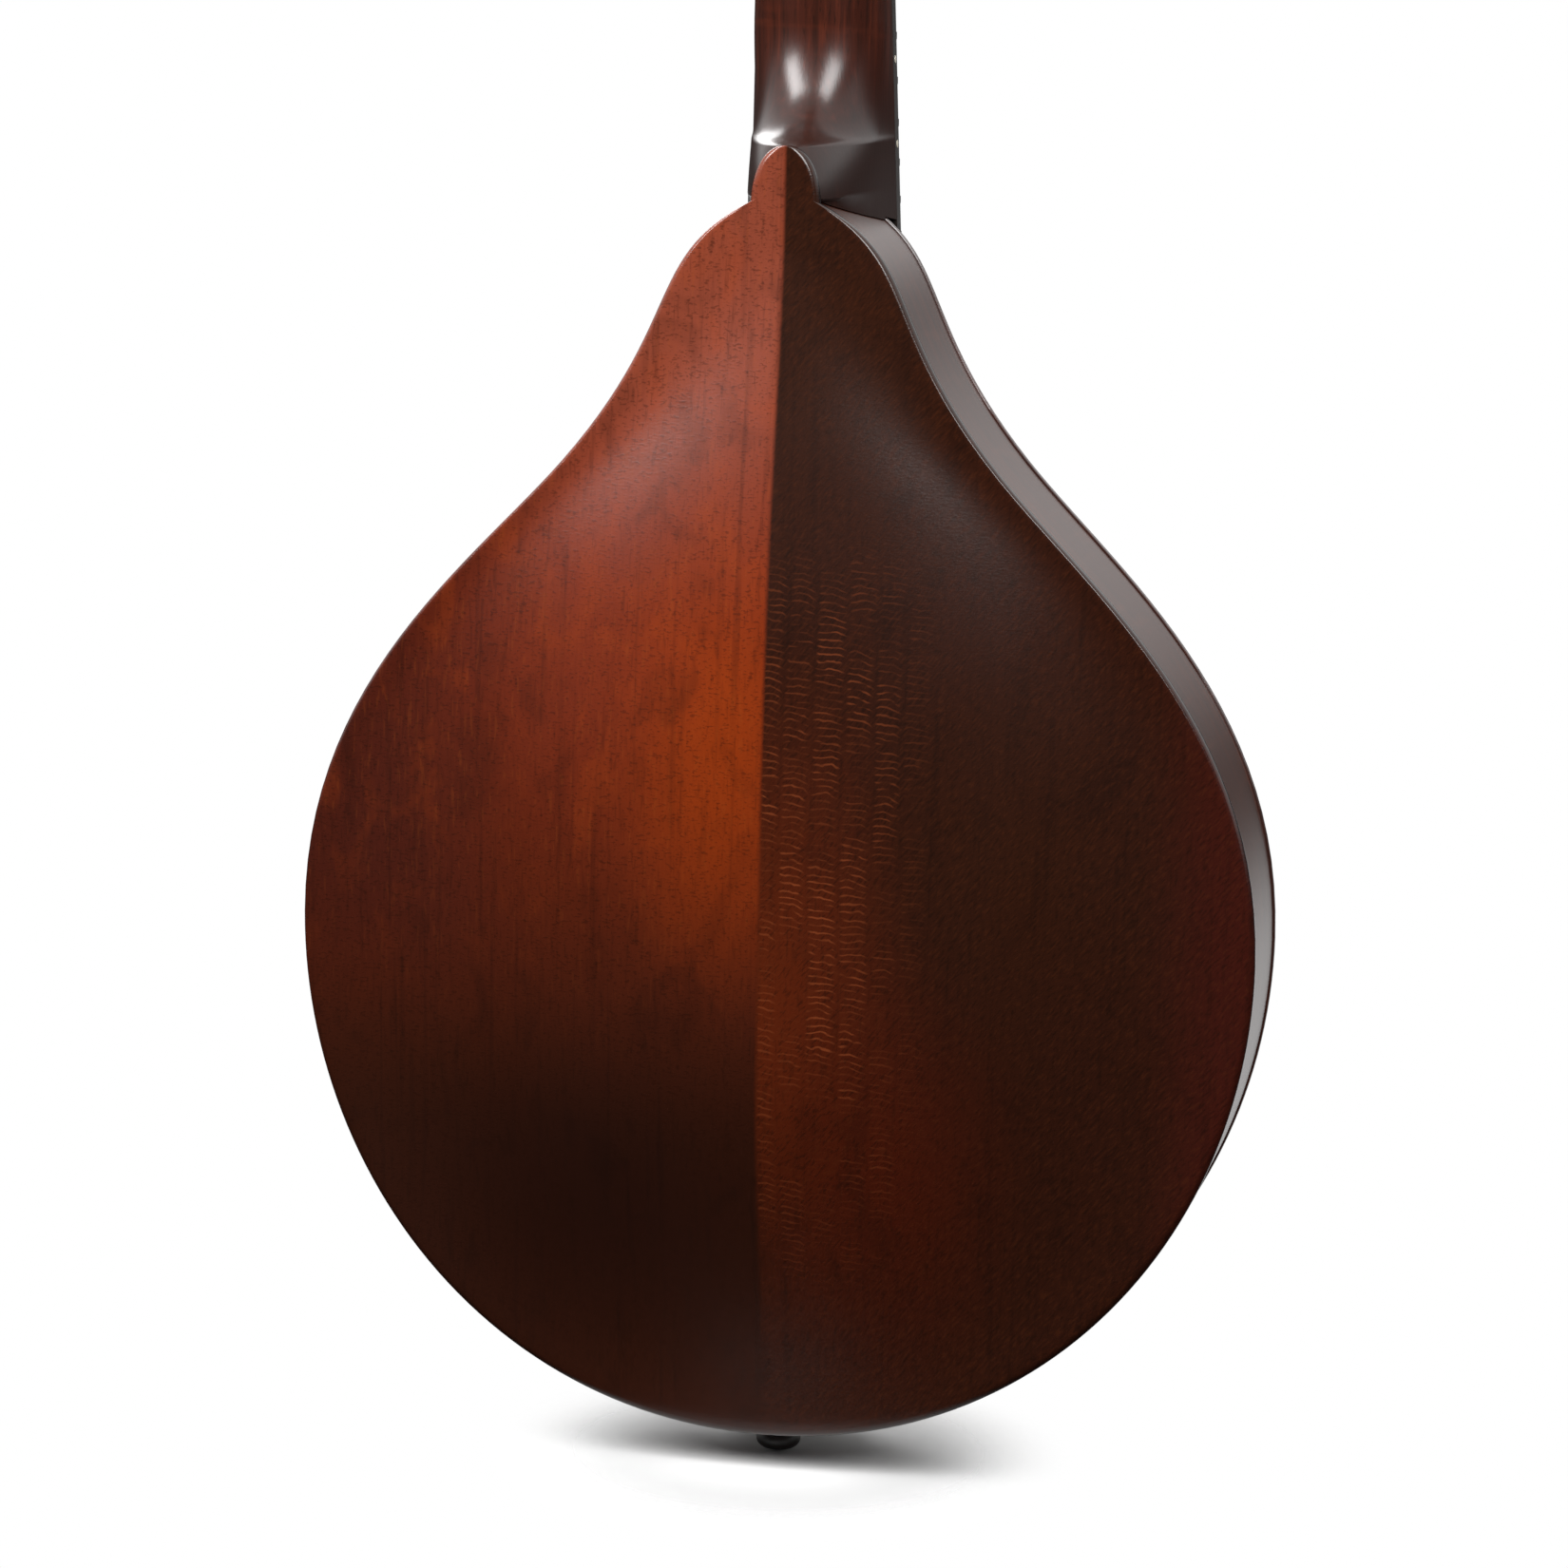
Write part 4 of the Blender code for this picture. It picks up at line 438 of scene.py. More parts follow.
@dataclass(frozen=True)
class BareWood(Finish):
    """Planed softwood without finish, as inside the body: pale, dull, with faint growth lines."""

    base: str = "c9a778"
    dark: str = "a07c50"

    def shade(self, n: Nodes) -> dict[str, object]:
        """Growth lines and fibre."""
        lines, fibre = n.spots((0.0015, 0.0015, 0.080), 2.0, 0.2), n.spots((0.0005, 0.0005, 0.006), 1.0)
        colour = n.coats(self.base, [
            (n.ramped(lines, 0.50, 0.75), self.dark, 0.7), (n.ramped(fibre, 0.55, 0.75), self.dark, 0.4)])
        return {"Base Color": colour, "Normal": n.relief(fibre, 0.00003)}


@dataclass(frozen=True)
class Blackwood(Finish):
    """Ebony, scraped and oiled, or veneer under black lacquer: near black with fine brown streaks."""

    base: str = "17110e"
    streak: str = "33241b"
    coat: float = 0.0

    def shade(self, n: Nodes) -> dict[str, object]:
        """Brown streaks along the neck, and pores drawn at 0.4 mm where real ones have 0.15 mm."""
        streaks, pores = n.spots((0.0012, 0.0012, 0.040), 3.0, 0.3), n.spots((0.0004, 0.0004, 0.0025), 1.0)
        colour = n.coats(self.base, [
            (n.ramped(streaks, 0.52, 0.80), self.streak, 0.8), (n.ramped(pores, 0.62, 0.75), "060403", 0.8)])
        return {"Base Color": colour, "Coat Weight": self.coat, "Coat Roughness": 0.08,
                "Normal": n.relief(pores, 0.00001 if self.coat else 0.00004)}


@dataclass(frozen=True)
class Metal(Finish):
    """Plated, drawn or turned metal: the colour of its metal, with fine working marks and dull spots."""

    base: str = "c9c6bf"
    dull: str = "a39e94"
    lines: Point = (0.02, 0.0003, 0.0003)

    def shade(self, n: Nodes) -> dict[str, object]:
        """Working marks, and patches where handling has dulled the surface."""
        worn = n.spots((0.012, 0.012, 0.012), 3.0, 0.6)
        rough = n.add("ShaderNodeMapRange", {
            "Value": worn, "From Min": 0.3, "From Max": 0.8,
            "To Min": self.roughness - 0.04, "To Max": self.roughness + 0.08})
        return {"Base Color": n.coats(self.base, [(n.ramped(worn, 0.40, 0.80), self.dull, 0.35)]),
                "Metallic": 1.0, "Roughness": rough.outputs[0],
                "Normal": n.relief(n.spots(self.lines, 2.0), 0.000004)}


@dataclass(frozen=True)
class WoundWire(Finish):
    """Bronze winding on a steel core: round turns side by side across the string.

    Real turns are 0.15 to 0.25 mm apart; they are drawn 0.5 mm apart so that they show.
    """

    turn: float = 0.0005

    def shade(self, n: Nodes) -> dict[str, object]:
        """Dark lines between the turns and their relief."""
        wave = n.math("SINE", n.math("MULTIPLY", n.axes()[2], 2 * math.pi / self.turn))
        colour = n.coats("b98a52", [
            (n.ramped(n.spots((0.004, 0.004, 0.02), 2.0), 0.45, 0.75), "8a6238", 0.6),
            (n.ramped(wave, -0.3, -1.0), "3a2413", 0.8)])
        return {"Base Color": colour, "Metallic": 1.0, "Normal": n.relief(wave, 0.00006)}


@dataclass(frozen=True)
class Pearloid(Finish):
    """Cast celluloid-like plastic with a pearl shimmer: cloudy flakes under a polished skin."""

    def shade(self, n: Nodes) -> dict[str, object]:
        """Clouds 3 mm wide and flakes about 1 mm wide."""
        clouds = n.spots((0.003, 0.003, 0.003), 2.0, 1.2)
        flakes = n.add("ShaderNodeTexVoronoi", {"Vector": n.place, "Scale": 900.0}).outputs["Distance"]
        colour = n.coats("e6dfcd", [
            (n.ramped(clouds, 0.45, 0.70), "c3b596", 0.7), (n.ramped(flakes, 0.2, 0.8), "f3eee2", 0.4)])
        return {"Base Color": colour, "Coat Weight": 0.5, "Coat Roughness": 0.06,
                "Normal": n.relief(clouds, 0.00002)}


@dataclass(frozen=True)
class PaintedFloor(Finish):
    """Matt white paint on a studio floor, with the faint mottling of a roller.

    Away from the part the floor fades into the white round it.
    """

    slot: str = ""
    fade: Pair = (0.02, 0.08)

    def shade(self, n: Nodes) -> dict[str, object]:
        """Roller mottling, and the fade by distance from the strap pin."""
        mottle = n.ramped(n.spots((0.04, 0.04, 0.04), 3.0), 0.45, 0.75)
        reach = n.add("ShaderNodeVectorMath", {0: n.place}, operation="LENGTH").outputs["Value"]
        return {"Base Color": n.coats("c4c4c4", [(mottle, "bebebe", 0.6)]), "Specular IOR Level": 0.1,
                "Alpha": n.ramped(reach, self.fade[1], self.fade[0])}


MAPLE_BACK = FiguredBack("satin figured maple back", "maple_back", 0.24)
MAPLE_RIB = StainedMaple("satin stained maple rib", "maple_rib", 0.32, "34160b", "1a0a05", "58280f", True)
# The neck darkens over its heel: partly darker stain, partly painted shade
MAPLE_NECK = StainedMaple("satin stained maple neck", "maple_neck", 0.28, "32130a", "180904", "562413",
                          darker_below=(0.346, 0.376))
MAPLE_RISER = StainedMaple("satin stained maple riser", "maple_neck", 0.34, "2c140d", "160a07", "54291b")
SPRUCE = SpruceTop("lacquered sunburst spruce", "spruce_top", 0.32)
BASSWOOD = BareWood("bare planed basswood", "bare_wood", 0.75)
SPRUCE_BAR = BareWood("bare planed spruce", "spruce_bar", 0.75, "d8b988", "a97f4d")
EBONY = Blackwood("oiled ebony", "ebony", 0.42)
HEAD_FACE = Blackwood("black lacquered veneer", "head_face", 0.18, "0b0909", "15100d", 0.8)
BONE = BareWood("polished bone", "bone", 0.30, "e9e0c8", "d8caa6")
NICKEL = Metal("bright nickel plate", "nickel", 0.20)
STEEL = Metal("drawn steel wire", "steel", 0.30, "b9b9ba", "8f8f92", (0.0003, 0.0003, 0.02))
FRET_WIRE = Metal("nickel silver fret wire", "nickel", 0.24, "c4bfae", "a39c88")
BRASS = Metal("turned brass", "brass", 0.26, "c9a35a", "9b7a3c", (0.0003, 0.02, 0.0003))
WOUND = WoundWire("bronze wound string", "bronze", 0.32)
PEARL = Pearloid("pearl effect plastic", "cream_plastic", 0.22)
FLOOR = PaintedFloor("rolled white paint", roughness=0.9)


# Meshes

def put(name: str, data: object) -> Thing:
    """Make an object at the origin and link it to the scene."""
    made = bpy.data.objects.new(name, data)
    bpy.context.scene.collection.objects.link(made)
    return made


def circle(steps: int) -> list[Pair]:
    """Cosine and sine of equal steps round a circle."""
    return [(math.cos(2 * math.pi * i / steps), math.sin(2 * math.pi * i / steps)) for i in range(steps)]


def cleaned(mesh: bpy.types.Mesh, flat: float = 0.0) -> bpy.types.Mesh:
    """Merge a mesh's doubles, join faces within a flat angle if one is given, and turn faces outwards."""
    work = bmesh.new()
    work.from_mesh(mesh)
    bmesh.ops.remove_doubles(work, verts=work.verts, dist=1e-6)
    if flat:
        bmesh.ops.dissolve_limit(work, angle_limit=flat, verts=work.verts, edges=work.edges)
    else:
        bmesh.ops.dissolve_degenerate(work, edges=work.edges, dist=1e-7)
    bmesh.ops.recalc_face_normals(work, faces=work.faces)
    work.to_mesh(mesh)
    work.free()
    return mesh


class Draft:
    """A mesh while it is drawn: points, their place along the wood, and faces."""

    def __init__(self) -> None:
        """Start with nothing drawn."""
        self.points: list[Vector] = []
        self.marks: list[Vector] = []
        self.faces: list[list[int]] = []

    def rows(self, rows: Rows, around: bool = False, caps: bool = False,
             marks: Union[Rows, None] = None) -> "Draft":
        """Join rows of points with four-sided faces.

        Args:
            rows: rows of equal length.
            around: close each row on itself.
            caps: close the first and the last row with a face each.
            marks: for each point its place along the wood.

        Returns:
            This draft.
        """
        start, count = len(self.points), len(rows[0])
        for number, row in enumerate(rows):
            self.points += [Vector(p) for p in row]
            self.marks += [Vector(p) for p in (marks[number] if marks else row)]
        for r in range(len(rows) - 1):
            for i in range(count if around else count - 1):
                a, b = start + r * count + i, start + r * count + (i + 1) % count
                self.faces.append([a, b, b + count, a + count])
        if caps:
            last = start + (len(rows) - 1) * count
            self.faces.append([start + i for i in range(count)])
            self.faces.append([last + i for i in range(count)])
        return self

    def tube(self, rows: Rows, marks: Union[Rows, None] = None) -> "Draft":
        """Join rows that close on themselves, with a cap at both ends."""
        return self.rows(rows, around=True, caps=True, marks=marks)

    def turned(self, profile: Sequence[Pair], steps: int, place: Matrix = Matrix()) -> "Draft":
        """Turn a profile of (radius, height) about local Z and move it to its place."""
        turns = circle(steps)
        return self.tube([[place @ Vector((r * c, r * s, h)) for c, s in turns] for r, h in profile])

    def prism(self, outline: Sequence[Pair], low: float, high: float, place: Matrix = Matrix()) -> "Draft":
        """Extrude a closed outline in (x, z) along Y from low to high and move it to its place."""
        return self.tube([[place @ Vector((x, y, z)) for x, z in outline] for y in (low, high)])

    def block(self, low: Point, high: Point, place: Matrix = Matrix()) -> "Draft":
        """A rectangular block between two corners, moved to its place."""
        corners = [(low[0], low[2]), (high[0], low[2]), (high[0], high[2]), (low[0], high[2])]
        return self.prism(corners, low[1], high[1], place)

    def build(self, name: str, place: Matrix = Matrix()) -> Thing:
        """Make an object of the draft, moved to its place, with doubles merged and faces outwards."""
        mesh = bpy.data.meshes.new(name)
        mesh.from_pydata([tuple(place @ p) for p in self.points], [], self.faces)
        wood = mesh.attributes.new("wood", "FLOAT_VECTOR", "POINT")
        wood.data.foreach_set("vector", [c for mark in self.marks for c in mark])
        return put(name, cleaned(mesh))


def settle(piece: Thing) -> Thing:
    """Turn a piece with modifiers into a plain mesh."""
    graph = bpy.context.evaluated_depsgraph_get()
    mesh = bpy.data.meshes.new_from_object(piece.evaluated_get(graph), depsgraph=graph)
    piece.modifiers.clear()
    piece.data = mesh
    return piece


def carve(piece: Thing, *tools: Thing, operation: str = "DIFFERENCE") -> Thing:
    """Cut a piece with other solids, or join them to it, and throw the tools away."""
    for tool in tools:
        change = piece.modifiers.new(tool.name, "BOOLEAN")
        change.operation, change.object, change.solver = operation, tool, "EXACT"
    settle(piece)
    for tool in tools:
        bpy.data.objects.remove(tool, do_unlink=True)
    return piece


def dress(piece: Thing, finish: Finish, body: Union[str, None] = ROOT, stands_for: Sequence[str] = (),
          sharp: float = 35.0) -> Thing:
    """Give a finished piece its material, its body and the CAD nodes that it stands for.

    Args:
        piece: the piece, in place.
        finish: its finish.
        body: the CAD body that it moves with, or None for a piece left without one.
        stands_for: CAD nodes that it hides.
        sharp: edges above this angle, in degrees, stay sharp.

    Returns:
        The piece.
    """
    piece.data.materials.clear()
    piece.data.materials.append(finish.material())
    piece.data.shade_smooth()
    piece.data.set_sharp_from_angle(angle=math.radians(sharp))
    if body:
        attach(piece, body)
    if stands_for:
        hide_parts(*stands_for)
    LOG.info("%s on %s: %d faces", piece.name, body, len(piece.data.polygons))
    return piece


def soften(node: str, name: str, width: float, finish: Finish) -> None:
    """Dress a copy of a CAD node with its flat faces joined again and its edges rounded by a width."""
    piece = put(name, cleaned(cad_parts[node].data.copy(), math.radians(0.5)))
    edge = piece.modifiers.new("rounded edges", "BEVEL")
    edge.width, edge.segments, edge.limit_method = width, 2, "ANGLE"
    edge.angle_limit = math.radians(40.0)
    dress(settle(piece), finish, stands_for=[node])


def dress_nodes(finish: Finish, *nodes: str) -> None:
    """Give CAD nodes that keep their shape a finish."""
    for node in nodes:
        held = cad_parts[node].data
        held.materials.clear()
        held.materials.append(finish.material())
        LOG.info("%s keeps its CAD shape", node)


class Recipe(Nodes):
    """A Geometry Nodes tree with named inputs, which makes the mesh of one piece at a time."""

    def __init__(self, name: str, inputs: dict[str, str]) -> None:
        """Start a tree.

        Args:
            name: the tree's name.
            inputs: socket types by input name, besides the geometry and the material.
        """
        super().__init__(bpy.data.node_groups.new(name, "GeometryNodeTree"))
        self.identifiers: dict[str, str] = {}
        for title, kind in {"Geometry": "Geometry", **inputs, "Material": "Material"}.items():
            socket = self.tree.interface.new_socket(title, in_out="INPUT", socket_type="NodeSocket" + kind)
            self.identifiers[title] = socket.identifier
        self.tree.interface.new_socket("Geometry", in_out="OUTPUT", socket_type="NodeSocketGeometry")
        self.source = self.add("NodeGroupInput")

    def given(self, title: str) -> Socket:
        """The tree's own input of that name."""
        return self.source.outputs[title]

    def close(self, geometry: Socket) -> "Recipe":
        """End the tree: instances made real and the material set."""
        real = self.add("GeometryNodeRealizeInstances", {0: geometry}).outputs[0]
        dressed = self.add("GeometryNodeSetMaterial", {"Geometry": real, "Material": self.given("Material")})
        self.add("NodeGroupOutput", {0: dressed.outputs[0]})
        return self

    def strew(self, mesh: Socket, title: str, **layout: Socket) -> "Recipe":
        """Put the object of an input on each point of a mesh, turned or stretched, and end the tree."""
        cloud = self.add("GeometryNodeMeshToPoints", {"Mesh": mesh}).outputs[0]
        shape = self.add("GeometryNodeObjectInfo", {"Object": self.given(title)}).outputs["Geometry"]
        laid = self.add("GeometryNodeInstanceOnPoints", {"Points": cloud, "Instance": shape, **layout})
        return self.close(laid.outputs[0])

    def make(self, name: str, points: Sequence[Point], values: dict[str, object], finish: Finish,
             place: Matrix = Matrix(), linked: bool = False) -> Thing:
        """Run the tree on points, or on the path that joins them.

        Args:
            name: the new piece's name.
            points: where it starts from.
            values: the tree's inputs by name.
            finish: the piece's finish.
            place: where the recipe's own frame goes.
            linked: join the points in order.

        Returns:
            The piece as a plain mesh at the origin.
        """
        mesh = bpy.data.meshes.new(name)
        edges = [(i, i + 1) for i in range(len(points) - 1)] if linked else []
        mesh.from_pydata([tuple(p) for p in points], edges, [])
        piece = put(name, mesh)
        change = piece.modifiers.new(name, "NODES")
        change.node_group = self.tree
        for title, value in {**values, "Material": finish.material()}.items():
            change[self.identifiers[title]] = value
        settle(piece)
        piece.data.transform(place)
        return piece


def scatter_recipe() -> Recipe:
    """Recipe that puts a small part on each point, turned about local Y at random from a fixed seed."""
    made = Recipe("parts on points", {"Part": "Object", "Turn": "Float", "Seed": "Int"})
    turn = made.add("FunctionNodeRandomValue", {
        "Max": made.given("Turn"), "Seed": made.given("Seed")}, data_type="FLOAT")
    euler = made.add("ShaderNodeCombineXYZ", {"Y": turn.outputs[1]}).outputs[0]
    return made.strew(made.given("Geometry"), "Part", Rotation=euler)


def wire_recipe() -> Recipe:
    """Recipe that draws a round wire along a path, with its bends rounded."""
    made = Recipe("wire along a path", {"Radius": "Float", "Bend": "Float"})
    path = made.add("GeometryNodeMeshToCurve", {"Mesh": made.given("Geometry")}).outputs[0]
    bent = made.add("GeometryNodeFilletCurve", {"Curve": path, "Count": 5, "Radius": made.given("Bend")},
                    mode="POLY")
    ring = made.add("GeometryNodeCurvePrimitiveCircle", {"Resolution": 12, "Radius": made.given("Radius")})
    drawn = made.add("GeometryNodeCurveToMesh", {
        "Curve": bent.outputs[0], "Profile Curve": ring.outputs[0], "Fill Caps": True})
    return made.close(drawn.outputs[0])


def fret_recipe() -> Recipe:
    """Recipe that puts a fret at each twelfth-root place and stretches it to the board's width."""
    sizes = ("Scale length", "Nut to body", "Nut half width", "Body half width", "Face")
    made = Recipe("frets by the twelfth root of two", {
        "Fret": "Object", "Count": "Int", **{title: "Float" for title in sizes}})
    scale, length, nut, body, face = (made.given(title) for title in sizes)
    index = made.add("GeometryNodeInputIndex").outputs[0]
    share = made.math("POWER", 2.0, made.math("DIVIDE", made.math("ADD", index, 1.0), -12.0))
    along = made.math("SUBTRACT", length, made.math("MULTIPLY", scale, made.math("SUBTRACT", 1.0, share)))
    taper = made.math("MULTIPLY", made.math("SUBTRACT", nut, body), made.math("DIVIDE", along, length))
    spot = made.add("ShaderNodeCombineXYZ", {"Y": face, "Z": along}).outputs[0]
    line = made.add("GeometryNodeMeshLine", {"Count": made.given("Count")}).outputs[0]
    placed = made.add("GeometryNodeSetPosition", {"Geometry": line, "Position": spot}).outputs[0]
    stretch = made.add("ShaderNodeCombineXYZ", {"X": made.math("ADD", body, taper), "Y": 1.0, "Z": 1.0})
    return made.strew(placed, "Fret", Scale=stretch.outputs[0])


SCATTER, WIRE, FRETS = scatter_recipe(), wire_recipe(), fret_recipe()


def scatter(name: str, part: Thing, points: Sequence[Point], finish: Finish, place: Matrix,
            turn: float = 0.0, seed: int = 1) -> None:
    """Dress copies of a small part on points, each turned at random by up to an angle."""
    values = {"Part": part, "Turn": turn, "Seed": seed}
    dress(SCATTER.make(name, points, values, finish, place), finish)
    bpy.data.objects.remove(part)


def wire(name: str, path: Sequence[Point], radius: float, bend: float, finish: Finish) -> Thing:
    """A round wire along a path, with its bends rounded."""
    return WIRE.make(name, path, {"Radius": radius, "Bend": bend}, finish, linked=True)


# Outline of the body

def bezier(start: Pair, handle_1: Pair, handle_2: Pair, end: Pair, steps: int) -> list[Pair]:
    """Points of a curve between two ends."""
    corners = [Vector((*p, 0.0)) for p in (start, handle_1, handle_2, end)]
    return [(p.x, p.y) for p in interpolate_bezier(*corners, steps + 1)]


def chain(*curves: Sequence[Pair]) -> list[Pair]:
    """Join curves that share their end points."""
    points = list(curves[0])
    for curve in curves[1:]:
        points += curve[1:]
    return points


def mirrored(points: Sequence[Pair]) -> list[Pair]:
    """Close a half outline with its mirror image."""
    return list(points) + [(-x, z) for x, z in reversed(points) if x > 1e-6]


def inset(points: Sequence[Pair], distance: float) -> list[Pair]:
    """Move a half outline inwards by a distance."""
    moved = []
    for i, (x, z) in enumerate(points):
        (x0, z0), (x1, z1) = points[max(i - 1, 0)], points[min(i + 1, len(points) - 1)]
        along = Vector((x1 - x0, z1 - z0)).normalized()
        moved.append((x - along.y * distance, z + along.x * distance))
    moved[0] = (0.0, points[0][1] + distance)
    if points[-1][0] < 1e-6:
        moved[-1] = (0.0, points[-1][1] - distance)
    return moved


def width_at(points: Sequence[Pair], z: float) -> float:
    """Half width of an outline at a height."""
    for (x0, z0), (x1, z1) in zip(points, points[1:]):
        if min(z0, z1) <= z <= max(z0, z1) and z0 != z1:
            return x0 + (x1 - x0) * (z - z0) / (z1 - z0)
    return 0.0


@dataclass(frozen=True)
class BodyShape:
    """Outline and arching of the body, with the sizes of the CAD part."""

    half_width: float = 0.1270
    widest_at: float = 0.1342
    waist: Pair = (0.0580, BODY_LENGTH - 0.0712)
    waist_slope: float = math.radians(49.4)
    shoulder: Pair = (0.0091, BODY_LENGTH - 0.0027)
    shoulder_slope: float = math.radians(27.6)
    handles: tuple[float, ...] = (0.0760, 0.0703, 0.0627, 0.0357, 0.0499, 0.0314)
    button_tip: float = BODY_LENGTH + 0.0118
    button_handles: Pair = (0.0085, 0.0056)
    spine_start: float = 0.1150
    crown_at: float = 0.1600
    arch_end: float = BODY_LENGTH - 0.0135
    arch_power: float = 1.8
    glue_margin: float = 0.0088
    steps: int = 26
    back_fall: Pair = (2.3, 1.5)
    top_fall: Pair = (2.0, 1.8)
    edge_round: float = 0.0020
    edge_limit: float = 0.45
    margin_limit: float = 0.85
    columns: int = 22

    def side(self) -> list[Pair]:
        """Right half of the plates' outline, from the tail to the shoulder beside the heel."""
        tail, low, high, waist_low, waist_high, shoulder = self.handles
        widest = (self.half_width, self.widest_at)
        up = (-math.cos(self.waist_slope), math.sin(self.waist_slope))
        into = (-math.cos(self.shoulder_slope), math.sin(self.shoulder_slope))
        lower = bezier((0.0, 0.0), (tail, 0.0), (self.half_width, self.widest_at - low), widest,
                       2 * self.steps)
        upper = bezier(widest, (self.half_width, self.widest_at + high),
                       (self.waist[0] - up[0] * waist_low, self.waist[1] - up[1] * waist_low),
                       self.waist, self.steps)
        neck = bezier(self.waist, (self.waist[0] + up[0] * waist_high, self.waist[1] + up[1] * waist_high),
                      (self.shoulder[0] - into[0] * shoulder, self.shoulder[1] - into[1] * shoulder),
                      self.shoulder, self.steps)
        return chain(lower, upper, neck)

    def rim(self) -> list[Pair]:
        """Right half of the rim, closed smoothly behind the heel."""
        half, at = self.shoulder
        return chain(self.side(), bezier(self.shoulder, (half * 0.7, (at + 2 * BODY_LENGTH) / 3),
                                         (half * 0.4, BODY_LENGTH), (0.0, BODY_LENGTH), 8))

    def button(self) -> list[Pair]:
        """Right half of the heel button, from its root to its tip."""
        half, at = self.shoulder
        return bezier(self.shoulder, (half - OVERHANG / 2, at + self.button_handles[0]),
                      (self.button_handles[1], self.button_tip), (0.0, self.button_tip), 14)

    def spine_height(self, z: float, arch: float, fall: Pair) -> float:
        """Height of the arching along the centre line, with the powers of its fall towards the neck."""
        if z <= self.crown_at:
            return arch
        reach = min((z - self.crown_at) / (self.arch_end - self.crown_at), 1.0)
        return arch * (1.0 - reach ** fall[0]) ** fall[1]

    def plate(self, name: str, outline: Sequence[Pair], arch: float, side: int) -> Thing:
        """A carved plate as a closed shell with a rounded edge.

        Args:
            name: the piece's name.
            outline: its right half, tail first.
            arch: height of its arching.
            side: +1 for the back, -1 for the top.

        Returns:
            The plate in its place.
        """
        top = max(z for _, z in outline)
        shares = [i / self.columns for i in range(self.columns + 1)]
        rows = []
        for x, z in mirrored(outline):
            spine_z = self.spine_start + (top - OVERHANG - self.spine_start) * z / top
            length = math.hypot(x, spine_z - z)
            margin = min(self.glue_margin / length, self.margin_limit)
            height = self.spine_height(spine_z, arch, self.back_fall if side > 0 else self.top_fall)
            soft = min(self.edge_round, self.edge_limit * length)
            left = max(length * margin - soft, 0.0)

            def at(distance: float, depth: float) -> Vector:
                """Point at a distance in from the edge, depth below or above the arching."""
                share = min(distance / length, 1.0)
                rise = max(share - margin, 0.0) / (1 - margin)
                swell = (1.0 - (1.0 - rise) ** 2) ** self.arch_power
                return Vector((x * (1 - share), side * (HALF_DEPTH + height * swell + depth),
                               z + (spine_z - z) * share))

            inner = [at(length * s, -PLATE) for s in reversed(shares[1:])]
            lower = [at(soft * 0.35, -PLATE), at(soft * 0.1, -PLATE + soft * 0.1), at(0.0, -PLATE + soft * 0.35)]
            arc = [math.radians(a) for a in (0, 18, 36, 54, 72, 90)]
            edge = [at(soft * (1 - math.cos(a)), -soft * (1 - math.sin(a))) for a in arc]
            flat = [at(soft + left * s, 0.0) for s in (0.35, 0.7)]
            outer = [at(length * (margin + (1 - margin) * s), 0.0) for s in shares]
            rows.append(inner + lower + edge + flat + outer)
        return Draft().rows(rows + rows[:1]).build(name, BODY)


SHAPE = BodyShape()


# Sub-assemblies

@dataclass
class Plates:
    """Carved maple back with its heel button, and carved spruce top with its oval hole."""

    back_arch: float = 0.0155

    def build(self) -> None:
        """Build and dress both plates."""
        back = SHAPE.plate("carved_back", chain(SHAPE.side(), SHAPE.button()), self.back_arch, 1)
        dress(back, MAPLE_BACK, stands_for=["back_plate"])
        top = SHAPE.plate("carved_top", SHAPE.rim(), TOP_ARCH, -1)
        oval = [(HOLE_RADII[0] * c, HOLE_AT + HOLE_RADII[1] * s) for c, s in circle(96)]
        carve(top, Draft().prism(oval, -2 * HALF_DEPTH, 0.0).build("sound_hole_tool", BODY))
        dress(top, SPRUCE, stands_for=["top_plate"])


@dataclass
class Rim:
    """Bent ribs, and the linings, blocks and brace inside, which keep their CAD shapes."""

    thickness: float = 0.0020
    heel_gap: float = 0.0071
    pin_bore: float = 0.0042
    grain_shift: float = 0.003

    def rib(self, hand: Hand) -> Thing:
        """One bent rib, with its place along the strip kept for the grain."""
        path = [p for p in inset(SHAPE.rim(), OVERHANG)
                if p[0] > (self.heel_gap if p[1] > BODY_LENGTH / 2 else -1.0)]
        path[0] = (FIT / 2, path[0][1])
        inner = inset([(0.0, path[0][1])] + path, self.thickness)[1:]
        inner[0] = (path[0][0], inner[0][1])
        rows, marks, run, deep = [], [], 0.0, INNER_HALF_DEPTH
        for i, ((x, z), (xi, zi)) in enumerate(zip(path, inner)):
            run += math.dist(path[i], path[i - 1]) if i else 0.0
            ring = [(x, deep * s, z) for s in (-1, -0.5, 0, 0.5, 1)] + [(xi, deep, zi), (xi, -deep, zi)]
            rows.append([(hand.value * a, b, c) for a, b, c in ring])
            marks.append([(b, self.grain_shift * hand.value, run) for _, b, _ in ring])
        name = "bent_rib_" + hand.tag
        piece = Draft().tube(rows, marks).build(name, BODY)
        bore = Draft().turned([(self.pin_bore, -0.004), (self.pin_bore, 0.010)], 32)
        return carve(piece, bore.build("pin_bore_tool", BODY))

    def build(self) -> None:
        """Build and dress the ribs, and dress what is inside."""
        for hand in Hand:
            dress(self.rib(hand), MAPLE_RIB, stands_for=["rib_" + hand.tag])
        dress_nodes(BASSWOOD, "lining_top_bass", "lining_top_treble", "lining_back_bass",
                    "lining_back_treble", "neck_block", "tail_block")
        dress_nodes(SPRUCE_BAR, "tone_bar")


